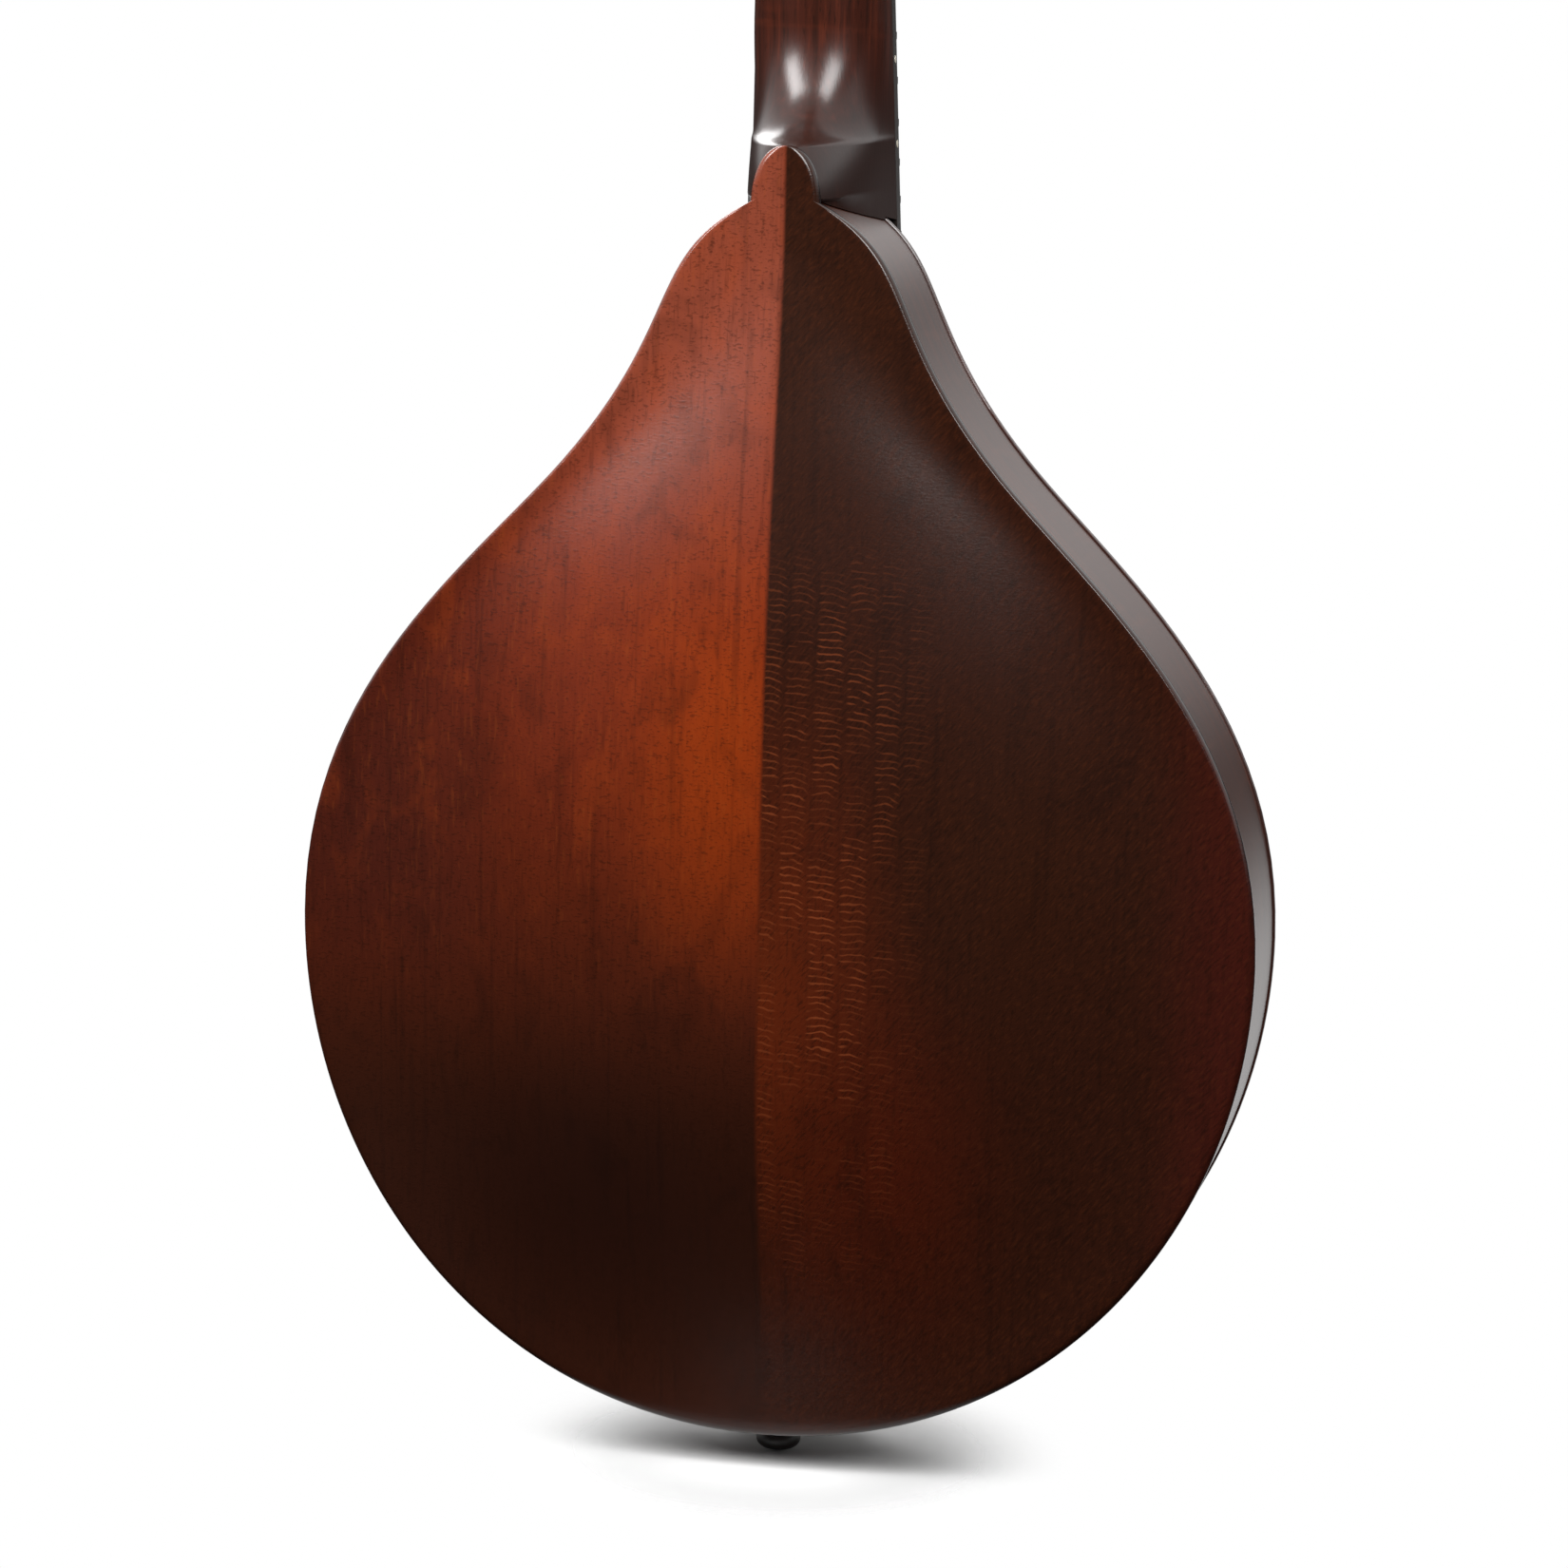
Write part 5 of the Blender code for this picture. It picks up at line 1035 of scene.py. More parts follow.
@dataclass
class EndPin:
    """Turned ebony strap pin with a domed head."""

    profile: tuple[Pair, ...] = (
        (0.0, PIN_PROUD + OVERHANG + 0.0150), (0.00306, PIN_PROUD + OVERHANG + 0.0150),
        (0.0036, PIN_PROUD + OVERHANG), (0.0036, 0.0090), (0.00372, 0.0078),
        (0.00400, 0.0064), (0.00455, 0.0054), (0.00525, 0.0046), (0.00575, 0.0038), (0.00600, 0.0029),
        (0.00592, 0.0021), (0.00562, 0.0014), (0.00510, 0.0008), (0.00440, 0.0003), (0.0035, 0.0), (0.0, 0.0))

    def build(self) -> None:
        """Turn the pin."""
        dress(Draft().turned(self.profile, 48).build("strap_pin"), EBONY, stands_for=["end_pin"])


@dataclass
class Neck:
    """Maple neck, heel and headstock in one piece, seated on the rim with its tenon."""

    depth_at_nut: float = 0.0140
    depth_at_heel: float = 0.0165
    cove: float = 0.0315
    cove_soft: float = 0.04
    heel_power: float = 3.5
    tip_power: float = 2.4
    heel_end: float = 0.0120
    shaft_power: float = 2.1
    cap_inset: float = 0.0004
    head_length: float = 0.1500
    head_low: float = 0.0305
    head_top: float = 0.0335
    flare: Pair = (0.0040, 0.0220)
    flat_at: float = 0.0190
    crown: float = 0.0150
    edge_round: float = 0.0030
    head_power: float = 8.0
    nut_power: float = 2.2
    point_power: float = 4.0
    tenon: tuple[float, float, float] = (0.0055, 0.0080, 0.0180)
    bore: float = 0.0035
    slot: tuple[float, float, float] = (0.0030, 0.0078, 0.0150)
    pocket: tuple[float, float, float, float] = (0.0044, -0.0063, 0.0113, 0.0156)
    points: int = 22
    heel_steps: int = 14
    cove_steps: int = 48
    cove_spacing: float = 1.5
    shaft_steps: int = 12
    flare_steps: int = 14
    foot_reach: float = 0.0060
    head_gap: float = 0.0080

    def glue_y(self, z: float) -> float:
        """Depth of the face under the fingerboard at a body height."""
        return GLUE_PLANE_Y + (z - BODY_LENGTH) * math.tan(NECK_ANGLE)

    def ring(self, width: float, depth: float, power: float, flat: float = 0.0) -> list[Pair]:
        """Half round section: front corner, then round the back to the other corner."""
        side = []
        for i in range(self.points):
            angle = QUARTER * i / (self.points - 1)
            side.append((flat + (width - flat) * max(math.cos(angle), 0.0) ** (2 / power),
                         depth * math.sin(angle) ** (2 / power)))
        return side + [(-x, y) for x, y in reversed(side)]

    def fall(self, climb: float) -> float:
        """Share of the way from the heel's cap down to the shaft, at a share of the way up the cove."""
        soft = self.cove_soft
        climb = clamp(climb)
        share = climb ** 3 / (3 * soft * soft) if climb < soft else climb - 2 * soft / 3
        return math.sqrt(1.0 - (1.0 - share / (1 - 2 * soft / 3)) ** 2)

    def heel_ring(self, z: float, cap: Sequence[Pair]) -> list[Vector]:
        """Section of the heel, which closes at the outline of the button and rounds into the shaft.

        Args:
            z: body height of the section.
            cap: right half of the heel's cap, root first.

        Returns:
            Points in the body frame from one front corner to the other.
        """
        shoulder, tip = SHAPE.shoulder[1], SHAPE.button_tip - self.cap_inset
        reach, width = INNER_HALF_DEPTH - self.glue_y(z), board_half_width(z - BODY_LENGTH)
        rise, blend = clamp((z - shoulder) / (tip - shoulder)), smooth(clamp((z - tip) / self.cove))
        power = mix(self.heel_power, self.tip_power, rise) + (self.shaft_power - self.tip_power) * blend
        share = 0.0 if z >= tip else width_at(cap, max(z, shoulder)) / self.heel_end
        closes = reach / (1.0 - share ** power) ** (1 / power)
        ring = []
        for across, y in self.ring(1.0, reach, self.point_power):
            side = width - (width - self.heel_end) * (1.0 - blend) * y / reach
            half = side * max(1.0 - (y / closes) ** power, 0.0) ** (1 / power)
            y *= 1.0 - (1.0 - self.depth_at_heel / reach) * self.fall((z - tip) / self.cove)
            ring.append(Vector((math.copysign(half, across), y + self.glue_y(z), z)))
        return ring

    def heel_and_shaft(self) -> list[list[Vector]]:
        """Sections from the foot of the heel up the shaft, in the body frame."""
        cap = [(x - self.cap_inset, z) for x, z in SHAPE.button()]
        foot, shoulder = BODY_LENGTH - self.tenon[2], SHAPE.shoulder[1]
        tip = SHAPE.button_tip - self.cap_inset
        shares = [step / self.heel_steps for step in range(self.heel_steps)] + [0.96, 0.985, 0.995]
        levels = [foot, shoulder - self.foot_reach] + [shoulder + (tip - shoulder) * s for s in shares]
        levels += [tip + self.cove * ((step + 1) / self.cove_steps) ** self.cove_spacing
                   for step in range(self.cove_steps)]
        rows = [self.heel_ring(z, cap) for z in levels]
        start, end = tip + self.cove, BODY_LENGTH + NUT_TO_BODY * math.cos(NECK_ANGLE) - self.head_gap
        for share in ((step + 1) / self.shaft_steps for step in range(self.shaft_steps)):
            z = mix(start, end, share)
            ring = self.ring(board_half_width((z - BODY_LENGTH) / math.cos(NECK_ANGLE)),
                             mix(self.depth_at_heel, self.depth_at_nut, share), self.shaft_power)
            rows.append([Vector((x, y + self.glue_y(z), z)) for x, y in ring])
        return rows

    def head_half_width(self, along: float) -> float:
        """Half width of the headstock at a distance above the nut."""
        crown_at, (start, end) = self.head_length - self.crown, self.flare
        if along <= end:
            return mix(NUT_HALF_WIDTH, self.head_low, smooth(clamp((along - start) / (end - start))))
        if along <= crown_at:
            return mix(self.head_low, self.head_top, (along - end) / (crown_at - end))
        rise = min((along - crown_at) / self.crown, 1.0)
        return self.head_top * math.sqrt(max(1.0 - rise ** 2, 0.0))

    def stations(self) -> list[float]:
        """Distances above the nut at which the headstock gets a section."""
        flare = [mix(*self.flare, step / self.flare_steps) for step in range(self.flare_steps + 1)]
        crown = [self.head_length - self.crown * (1 - math.sin(math.radians(a)))
                 for a in (0, 9, 18, 27, 36, 45, 54, 61, 68, 74, 80, 85)]
        return flare + crown

    def head_rows(self) -> list[list[Vector]]:
        """Sections of the headstock, in the body frame."""
        to_body = BODY.inverted() @ HEAD
        bend = to_body @ spin(HEAD_ANGLE / 2, "X")
        nut = self.ring(NUT_HALF_WIDTH, self.depth_at_nut, self.nut_power)
        rows = [[bend @ Vector((x, y, 0.0)) for x, y in nut]]
        for along in self.stations():
            share = min((along - self.flare[0]) / (self.flat_at - self.flare[0]), 1.0)
            half = self.head_half_width(along)
            ring = self.ring(half, mix(self.depth_at_nut, HEAD_THICKNESS, share),
                             mix(self.shaft_power, self.head_power, share),
                             max(half - self.edge_round, 0.0) * share)
            rows.append([to_body @ Vector((x, y, along)) for x, y in ring])
        return rows

    def tenon_half_width(self, z: float) -> float:
        """Half width of the dovetail tenon at a body height."""
        return mix(*self.tenon[:2], (BODY_LENGTH - z) / self.tenon[2])

    def build(self) -> None:
        """Loft the neck, fit it to the rim, add the tenon and cut the bores and the truss rod's slot."""
        piece = Draft().tube(self.heel_and_shaft() + self.head_rows()).build("carved_neck", BODY)
        reach = 2 * HALF_DEPTH
        rim = Draft().prism(mirrored(inset(SHAPE.rim(), OVERHANG - FIT)), -INNER_HALF_DEPTH - FIT, reach)
        edge = Draft().prism(mirrored(inset(SHAPE.rim(), -FIT)), -2 * reach, -INNER_HALF_DEPTH)
        carve(piece, rim.build("rim_tool", BODY), edge.build("plate_edge_tool", BODY))
        foot, root = BODY_LENGTH - self.tenon[2], BODY_LENGTH + OVERHANG
        corners = [(side * self.tenon_half_width(z), z)
                   for side, z in ((1, foot), (1, root), (-1, root), (-1, foot))]
        tenon = Draft().prism(corners, -INNER_HALF_DEPTH + FIT, INNER_HALF_DEPTH - FIT)
        carve(piece, tenon.build("tenon_tool", BODY), operation="UNION")
        bores = Draft()
        for x, z in (place for hand in Hand for place in post_places(hand)):
            turned = HEAD @ move(x, 0, z) @ spin(-QUARTER, "X")
            bores.turned([(self.bore, -HEAD_THICKNESS), (self.bore, 2 * HEAD_THICKNESS)], 24, turned)
        half, depth, start = self.slot
        slot = Draft().block((-half, -depth, start), (half, depth, HEAD_START + FIT), NECK)
        half, front, back, length = self.pocket
        pocket = Draft().block((-half, front, HEAD_START), (half, back, HEAD_START + length), NECK)
        carve(piece, bores.build("post_bore_tool"), slot.build("slot_tool"), pocket.build("pocket_tool"))
        dress(piece, MAPLE_NECK, stands_for=["neck"], sharp=32.0)
        dress_nodes(STEEL, "truss_rod")
        dress_nodes(MAPLE_RISER, "fingerboard_riser")


def board_half_width(along: float) -> float:
    """Half width of the fingerboard at a distance along the neck from the body's edge."""
    return mix(JOINT_HALF_WIDTH, NUT_HALF_WIDTH, along / NUT_TO_BODY)


def fret_place(number: float) -> float:
    """Distance of a fret along the neck from the body's edge; number 0 is the nut's front."""
    return NUT_TO_BODY - SCALE_LENGTH * (1 - 2 ** (-number / 12))


def post_places(hand: Hand) -> list[Pair]:
    """Where a side's string posts stand in the head frame, nearest the nut first."""
    return [(hand.value * POST_X, FIRST_POST + POST_STEP * number) for number in range(4)]


@dataclass
class Fingerboard:
    """Ebony board with half-round frets, position dots, and the slotted bone nut."""

    count: int = 20
    end_margin: float = 0.0036
    edge: float = 0.0005
    face: float = -FIT - BOARD
    fret_half: float = 0.0010
    fret_power: float = 0.8
    fret_ends: tuple[Pair, ...] = ((-1.0, 0.25), (-0.985, 0.72), (-0.96, 1.0),
                                   (0.96, 1.0), (0.985, 0.72), (1.0, 0.25))
    dot_frets: tuple[int, ...] = (5, 7, 10, 12, 15)
    octave: int = 12
    octave_spread: float = 0.0062
    face_dot: float = 0.0030
    side_dot: float = 0.0010
    side_drop: float = 0.0026

    def board(self) -> Thing:
        """The board with eased edges."""
        end = fret_place(self.count) - self.end_margin
        rows = []
        for along in (end, end + self.edge, NUT_TO_BODY):
            half = board_half_width(along)
            ease = self.edge if along > end else 1.6 * self.edge
            side = [(half, -FIT), (half, self.face + ease), (half - 0.3 * ease, self.face + 0.3 * ease),
                    (half - ease, self.face)]
            rows.append([(x, y, along) for x, y in side] + [(-x, y, along) for x, y in reversed(side)])
        return Draft().tube(rows).build("ebony_board", NECK)

    def fret(self) -> Thing:
        """One fret of unit half width, with bevelled ends."""
        arc = [math.pi * i / 10 for i in range(11)]
        return Draft().tube([
            [(x, -FRET_HEIGHT * tall * math.sin(a) ** self.fret_power, self.fret_half * math.cos(a))
             for a in arc] for x, tall in self.fret_ends]).build("fret_part")

    def dots(self) -> None:
        """Pearl dots in the face, and white side dots on the bass edge."""
        centres, sides = [], []
        for number in self.dot_frets:
            at = (fret_place(number) + fret_place(number - 1)) / 2
            spread = (-self.octave_spread, self.octave_spread) if number == self.octave else (0.0,)
            centres += [(x, self.face, at) for x in spread]
            sides.append((-board_half_width(at), self.face + self.side_drop, at))
        for name, points, radius, rim, dome, steps, turn in (
                ("board_dots", centres, self.face_dot, 0.00004, 0.00006, 24, spin(QUARTER, "X")),
                ("side_dots", sides, self.side_dot, 0.00005, 0.00009, 20, spin(-QUARTER, "Y"))):
            part = Draft().turned([(radius, -0.0002), (radius, rim), (0.0, dome)], steps, turn)
            scatter(name, part.build("dot_part"), points, PEARL, NECK)

    def build(self) -> None:
        """Build the board, its frets and dots, and the nut."""
        dress(self.board(), EBONY, stands_for=["fingerboard"])
        fret = self.fret()
        frets = FRETS.make("frets", [(0, 0, 0)], {
            "Fret": fret, "Count": self.count, "Scale length": SCALE_LENGTH, "Nut to body": NUT_TO_BODY,
            "Nut half width": NUT_HALF_WIDTH, "Body half width": JOINT_HALF_WIDTH,
            "Face": self.face}, FRET_WIRE, NECK)
        bpy.data.objects.remove(fret)
        dress(frets, FRET_WIRE)
        self.dots()
        soften("nut", "slotted_nut", 0.0003, BONE)


@dataclass
class Screw:
    """A domed screw head with a slot, about local Y."""

    radius: float = 0.0016
    height: float = 0.0007
    slot_half: float = 0.00018

    def build(self, toward: int) -> Thing:
        """One head; toward is the side that it faces."""
        r, h = self.radius, self.height
        profile = [(r, -0.0002), (r, h * 0.3), (r * 0.85, h * 0.7), (r * 0.5, h * 0.95), (0.0, h)]
        head = Draft().turned(profile, 20).build("screw_part")
        slot = Draft().block((-2 * r, -self.slot_half, h * 0.45), (2 * r, self.slot_half, 2 * h))
        carve(head, slot.build("slot_tool"))
        head.data.transform(spin(-toward * QUARTER, "X"))
        return head


@dataclass
class Headstock:
    """Black faced headstock: veneer, truss rod cover and its screws."""

    cover: float = 0.0018
    edge: float = 0.0004
    screws: tuple[Pair, ...] = ((-0.0072, 0.0033), (0.0072, 0.0033), (0.0, 0.0285))

    def build(self) -> None:
        """Build and dress the veneer, the cover and its screws."""
        soften("head_plate", "head_veneer", self.edge, HEAD_FACE)
        soften("truss_rod_cover", "bell_cover", self.edge, HEAD_FACE)
        face = -2 * FIT - HEAD_PLATE - self.cover
        points = [(x, face, z) for x, z in self.screws]
        scatter("cover_screws", Screw().build(-1), points, NICKEL, HEAD, math.pi, 4)


@dataclass
class Tuners:
    """Worm-geared tuning machines: plates, posts with gears, worms and knobs."""

    teeth: int = 14
    pitch: float = 0.0020
    worm_radius: float = 0.0021
    addendum: float = 0.00035
    clearance: float = 0.00036
    gear_width: float = 0.0038
    post_radius: float = 0.0030
    post_waist: float = 0.72
    post_proud: float = 0.0130
    hole_proud: float = 0.0070
    worm_half: float = 0.0035
    knob_start: float = 0.0140
    knob_length: float = 0.0130
    knob_radius: float = 0.0075
    knob_flat: float = 0.50
    hole_radius: float = 0.0008
    screw_proud: float = 0.0006
    screw_share: float = 0.75
    collar: float = 0.0018
    thread_steps: int = 28
    thread_reach: int = 42
    thread_fade: int = 7
    worm_height: float = FIT + TUNER_SHEET + worm_radius + addendum + 2 * FIT
    plate_end: float = 0.0115
    screw_end: float = 0.0028
    screw_side: Pair = (0.0048, 0.0078)
    bush_bore: float = 0.0035
    bush: tuple[Pair, ...] = ((0.0052, -0.0002), (0.0052, 0.0006), (0.0048, 0.0011), (0.0038, 0.0012))

    @property
    def gear_radius(self) -> float:
        """Pitch radius of the gear."""
        return self.teeth * self.pitch / (2 * math.pi)

    @property
    def centres(self) -> float:
        """Distance between a post's axis and its worm's."""
        return self.gear_radius + self.worm_radius

    @property
    def worm_root(self) -> float:
        """Radius of the worm under its thread."""
        return self.centres - (self.gear_radius + self.addendum) - self.clearance

    def gear(self, side: int) -> Draft:
        """Helical gear about local Y with rounded teeth, a space facing the worm at local -Z."""
        tip = self.gear_radius + self.addendum
        root = self.centres - (self.worm_radius + self.addendum) - self.clearance
        tooth = 2 * math.pi / self.teeth
        lead = self.pitch / (2 * math.pi * self.worm_radius)
        rows = []
        for level, trim in ((-0.5, 0.9), (-0.46, 1.0), (0.46, 1.0), (0.5, 0.9)):
            y = level * self.gear_width
            twist = -side * lead * y / self.gear_radius
            ring = []
            for number in range(self.teeth):
                for part, radius in ((-0.2275, root), (-0.165, (root + tip) / 2), (-0.105, tip),
                                     (0.105, tip), (0.165, (root + tip) / 2), (0.2275, root)):
                    turn = tooth * (number + 0.5 + part) + twist
                    reach = mix(root, radius, trim)
                    ring.append((-reach * math.sin(turn), self.worm_height + y, -reach * math.cos(turn)))
            rows.append(ring)
        return Draft().tube(rows)

    def post(self, side: int) -> Thing:
        """String post with its string hole and gear, about local Y, origin on the head's back face."""
        front = -(HEAD_THICKNESS + FIT + HEAD_PLATE)
        top = self.worm_height + self.gear_width / 2 + self.screw_proud
        r, hole = self.post_radius, front - self.hole_proud
        waist, end = r * self.post_waist, front - self.post_proud
        profile = [(0.0, end), (r * 0.62, end), (r * 0.9, end + r * 0.15), (r, end + r * 0.4),
                   (r, hole - r), (r * 0.86, hole - r * 0.75), (waist, hole - r * 0.4), (waist, hole + r * 0.6),
                   (r * 0.86, hole + r * 0.85), (r, hole + r), (r, self.worm_height - self.gear_width * 0.5)]
        upright, across = spin(-QUARTER, "X"), move(0, hole, 0) @ spin(QUARTER, "Y")
        post = Draft().turned(profile, 28, upright).build("post_part")
        bore = Draft().turned([(self.hole_radius, -0.004), (self.hole_radius, 0.004)], 14, across)
        carve(post, bore.build("string_hole_tool"))
        carve(post, self.gear(side).build("gear_tool"), operation="UNION")
        s = r * self.screw_share
        screw = Draft().turned([(s, top - 0.0009), (s, top - 0.0002), (s * 0.9, top), (0.0, top)], 24, upright)
        screw_head = screw.build("gear_screw_tool")
        slot = Draft().block((-2 * s, top - 0.0005, -0.0003), (2 * s, top + 0.001, 0.0003))
        carve(screw_head, slot.build("slot_tool"))
        return carve(post, screw_head, operation="UNION")

    def worm(self, side: int) -> Draft:
        """Worm and shaft about local X: a thread that follows its helix, and a plain shaft with a collar."""
        root, half = self.worm_root, self.worm_half
        upright = spin(side * QUARTER, "Y")
        start = -half - 5 * FIT - self.collar
        end = self.knob_start + self.knob_length * 0.5
        draft = Draft().turned([
            (0.0, start), (root * 0.7, start), (root, start + 0.0003), (root, -half - 0.0002),
            (root, half), (root, end), (0.0, end)], 24, upright)
        around, reach, rows = self.thread_steps, self.thread_reach, []
        for step in range(-reach, reach + 1):
            angle, middle = 2 * math.pi * step / around, self.pitch * step / around
            fade = min((reach - abs(step)) / self.thread_fade, 1.0)
            crest = mix(root, self.worm_radius + self.addendum, fade)
            foot = self.pitch * 0.30
            profile = ((-foot, root * 0.9), (-foot * 0.35, crest * 0.98), (0.0, crest),
                       (foot * 0.35, crest * 0.98), (foot, root * 0.9))
            rows.append([(side * (middle + at), radius * math.sin(angle), radius * math.cos(angle))
                         for at, radius in profile])
        return draft.tube(rows)

    def knob(self, side: int) -> Draft:
        """Oval pressed knob about local X, with a short collar."""
        length, r = self.knob_length, self.knob_radius
        anchors = ((0.0, 0.36), (0.04, 0.40), (0.10, 0.47), (0.18, 0.66), (0.28, 0.86), (0.42, 0.98),
                   (0.55, 1.0), (0.68, 0.95), (0.80, 0.85), (0.90, 0.66), (0.965, 0.43), (0.995, 0.16), (1.0, 0.0))
        bore = self.worm_root + FIT
        rows = []
        inside = [(1e-9, length * 0.5), (bore, length * 0.5), (bore, 0.0)]
        for radius, height in inside + [(r * share, length * at) for at, share in anchors]:
            squash = 1.0 if radius <= bore * 1.1 else min(max(self.knob_flat, 1.6 * bore / radius), 1.0)
            x = side * (self.knob_start + height)
            rows.append([(x, radius * s * squash, radius * c) for c, s in circle(40)])
        return Draft().tube(rows)

    def build(self) -> None:
        """Build all eight machines, their plates and the plates' screws."""
        for hand in Hand:
            side = hand.value
            soften("tuner_plate_" + hand.tag, "machine_plate_" + hand.tag, 0.00025, NICKEL)
            places, back = post_places(hand), HEAD_THICKNESS + FIT + TUNER_SHEET
            low, high = places[0][1] - self.centres - self.plate_end, places[-1][1] + self.plate_end
            points = [(side * POST_X, back, z) for z in (low + self.screw_end, high - self.screw_end)]
            out, up = self.screw_side
            points += [(side * (POST_X + out), back, z + up) for _, z in places[:3]]
            scatter("machine_screws_" + hand.tag, Screw().build(1), points, NICKEL, HEAD, math.pi, 7 + side)
            post, bush, face = self.post(side), Draft(), FIT + HEAD_PLATE
            rings = [(r, face + h) for r, h in self.bush]
            ends = [(self.bush_bore, face + h) for h in (-0.0002, 0.0009)]
            for number, (x, z) in enumerate(places):
                tag = "%s_%d" % (hand.tag, number + 1)
                made = put("machine_post_" + tag, post.data.copy())
                made.data.transform(HEAD @ move(x, HEAD_THICKNESS, z))
                dress(made, NICKEL, "post_" + tag, ["string_post_" + tag])
                spindle = HEAD @ move(x, HEAD_THICKNESS + self.worm_height, z - self.centres)
                dress(self.worm(side).build("machine_worm_" + tag, spindle), STEEL, "knob_" + tag,
                      ["worm_shaft_" + tag])
                dress(self.knob(side).build("machine_knob_" + tag, spindle), PEARL, "knob_" + tag,
                      ["tuner_knob_" + tag], sharp=60.0)
                bush.turned([ends[0], *rings, *ends[::-1]], 32, HEAD @ move(x, 0, z) @ spin(QUARTER, "X"))
            bpy.data.objects.remove(post)
            bush.faces = [f for f in bush.faces if len(f) == 4]
            dress(bush.build("post_bushings_" + hand.tag), NICKEL)


@dataclass
class Bridge:
    """Adjustable ebony bridge: foot, thumbwheels and the stepped saddle."""

    saddle_z: float = BODY_LENGTH + (NUT_TO_BODY - SCALE_LENGTH) * math.cos(NECK_ANGLE)
    foot_height: float = 0.0048
    action: float = 0.0036
    wheel_lift: float = 0.0016
    wheel_thickness: float = 0.0020
    wheel_radius: float = 0.0060
    ridges: int = 36
    bore: float = 0.0018
    drill: float = 0.0020
    thread: Pair = (0.00152, 0.00165)
    thread_pitch: float = 0.0004
    thread_turns: int = 17
    saddle_half: float = 0.0385
    saddle_depth: float = 0.0070
    top_depth: float = 0.0030
    shoulder_share: float = 0.45
    steps: tuple[Pair, ...] = ((-0.0215, 0.0007), (-0.0125, -0.0004), (-0.0118, 0.0006), (-0.0005, -0.0006),
                               (0.0005, 0.0007), (0.0118, -0.0005), (0.0125, 0.0005), (0.0215, -0.0006))

    @property
    def foot_top(self) -> float:
        """Depth of the foot's front face."""
        arch = SHAPE.spine_height(self.saddle_z, TOP_ARCH, SHAPE.top_fall)
        return -HALF_DEPTH - arch - FIT - self.foot_height

    @property
    def wheel_top(self) -> float:
        """Depth at which the saddle starts, above the wheels."""
        return self.foot_top - self.wheel_lift - self.wheel_thickness - FIT

    @property
    def string_y(self) -> float:
        """Depth of the strings' undersides over the saddle."""
        along = self.saddle_z - BODY_LENGTH
        board = BOARD + FIT + FRET_HEIGHT
        return GLUE_PLANE_Y + along * math.tan(NECK_ANGLE) - board / math.cos(NECK_ANGLE) - self.action

    def on_screws(self, profile: Sequence[Pair], depth: float) -> Draft:
        """Turned shapes on both of the bridge's screws, from a depth forwards."""
        draft = Draft()
        for hand in Hand:
            place = BODY @ move(hand.value * SCREW_SPREAD, depth, self.saddle_z) @ spin(QUARTER, "X")
            draft.turned(profile, 20, place)
        return draft

    def wheel(self, hand: Hand) -> Thing:
        """A thumbwheel with a knurled rim."""
        turns, rows = circle(2 * self.ridges), []
        for level, lip in ((0.0, 0.93), (0.12, 1.0), (0.88, 1.0), (1.0, 0.93)):
            knurl = [self.wheel_radius * lip * share for share in (0.955, 1.0)]
            rows.append([(knurl[i % 2] * c, -self.wheel_thickness * level, knurl[i % 2] * s)
                         for i, (c, s) in enumerate(turns)])
        rows += [[(self.bore * c, y, self.bore * s) for c, s in turns] for y in (-self.wheel_thickness, 0.0)]
        place = BODY @ move(hand.value * SCREW_SPREAD, self.foot_top - self.wheel_lift, self.saddle_z)
        return Draft().rows(rows + rows[:1], around=True).build("knurled_wheel_" + hand.tag, place)

    def saddle(self) -> Thing:
        """Saddle bar with a crest that steps back and forth under the four courses."""
        low, top = self.wheel_top, self.string_y + FIT
        shoulder = mix(low, top, self.shoulder_share)
        half, crest, wide = self.saddle_half, self.top_depth / 2, self.saddle_depth / 2
        end = [(half, 0.0, 0.5), (half * 0.985, 0.0, 0.85), (half * 0.95, 0.0, 1.0)]
        places = [(-x, shift, tall) for x, shift, tall in end]
        places += [(x, shift, 1.0) for x, shift in self.steps] + end[::-1]
        rows = []
        for x, shift, tall in places:
            peak = mix(shoulder, top, tall)
            neck = mix(shoulder, peak, 0.25)
            rows.append([Vector((x, y, self.saddle_z + z)) for y, z in (
                (low, -wide + 0.0003), (low, wide - 0.0003), (low - 0.0003, wide), (shoulder, wide),
                (neck, wide * 0.86), (peak + 0.0008, crest), (peak + 0.0002, crest * 0.85),
                (peak, shift * 0.6 + 0.0005), (peak, shift * 0.6 - 0.0005), (peak + 0.0002, -crest * 0.85),
                (peak + 0.0008, -crest), (neck, -wide * 0.86), (shoulder, -wide), (low - 0.0003, -wide))])
        bores = self.on_screws([(self.drill, -0.004), (self.drill, 0.0050)], low)
        return carve(Draft().tube(rows).build("stepped_saddle", BODY), bores.build("saddle_bore_tool"))

    def build(self) -> None:
        """Build and dress the bridge."""
        soften("bridge_base", "bridge_foot", 0.0004, EBONY)
        root, crest = self.thread
        profile = [(root, -0.0006)]
        for turn in range(self.thread_turns):
            at = self.thread_pitch * turn
            profile += [(root, at), (crest, at + self.thread_pitch / 2)]
        screws = self.on_screws(profile + [(root, self.thread_turns * self.thread_pitch)], self.foot_top)
        dress(screws.build("bridge_screws"), BRASS)
        for hand in Hand:
            dress(self.wheel(hand), BRASS, "thumbwheel_" + hand.tag, ["thumbwheel_" + hand.tag], sharp=25.0)
        dress(self.saddle(), EBONY, "saddle", ["bridge_saddle"])


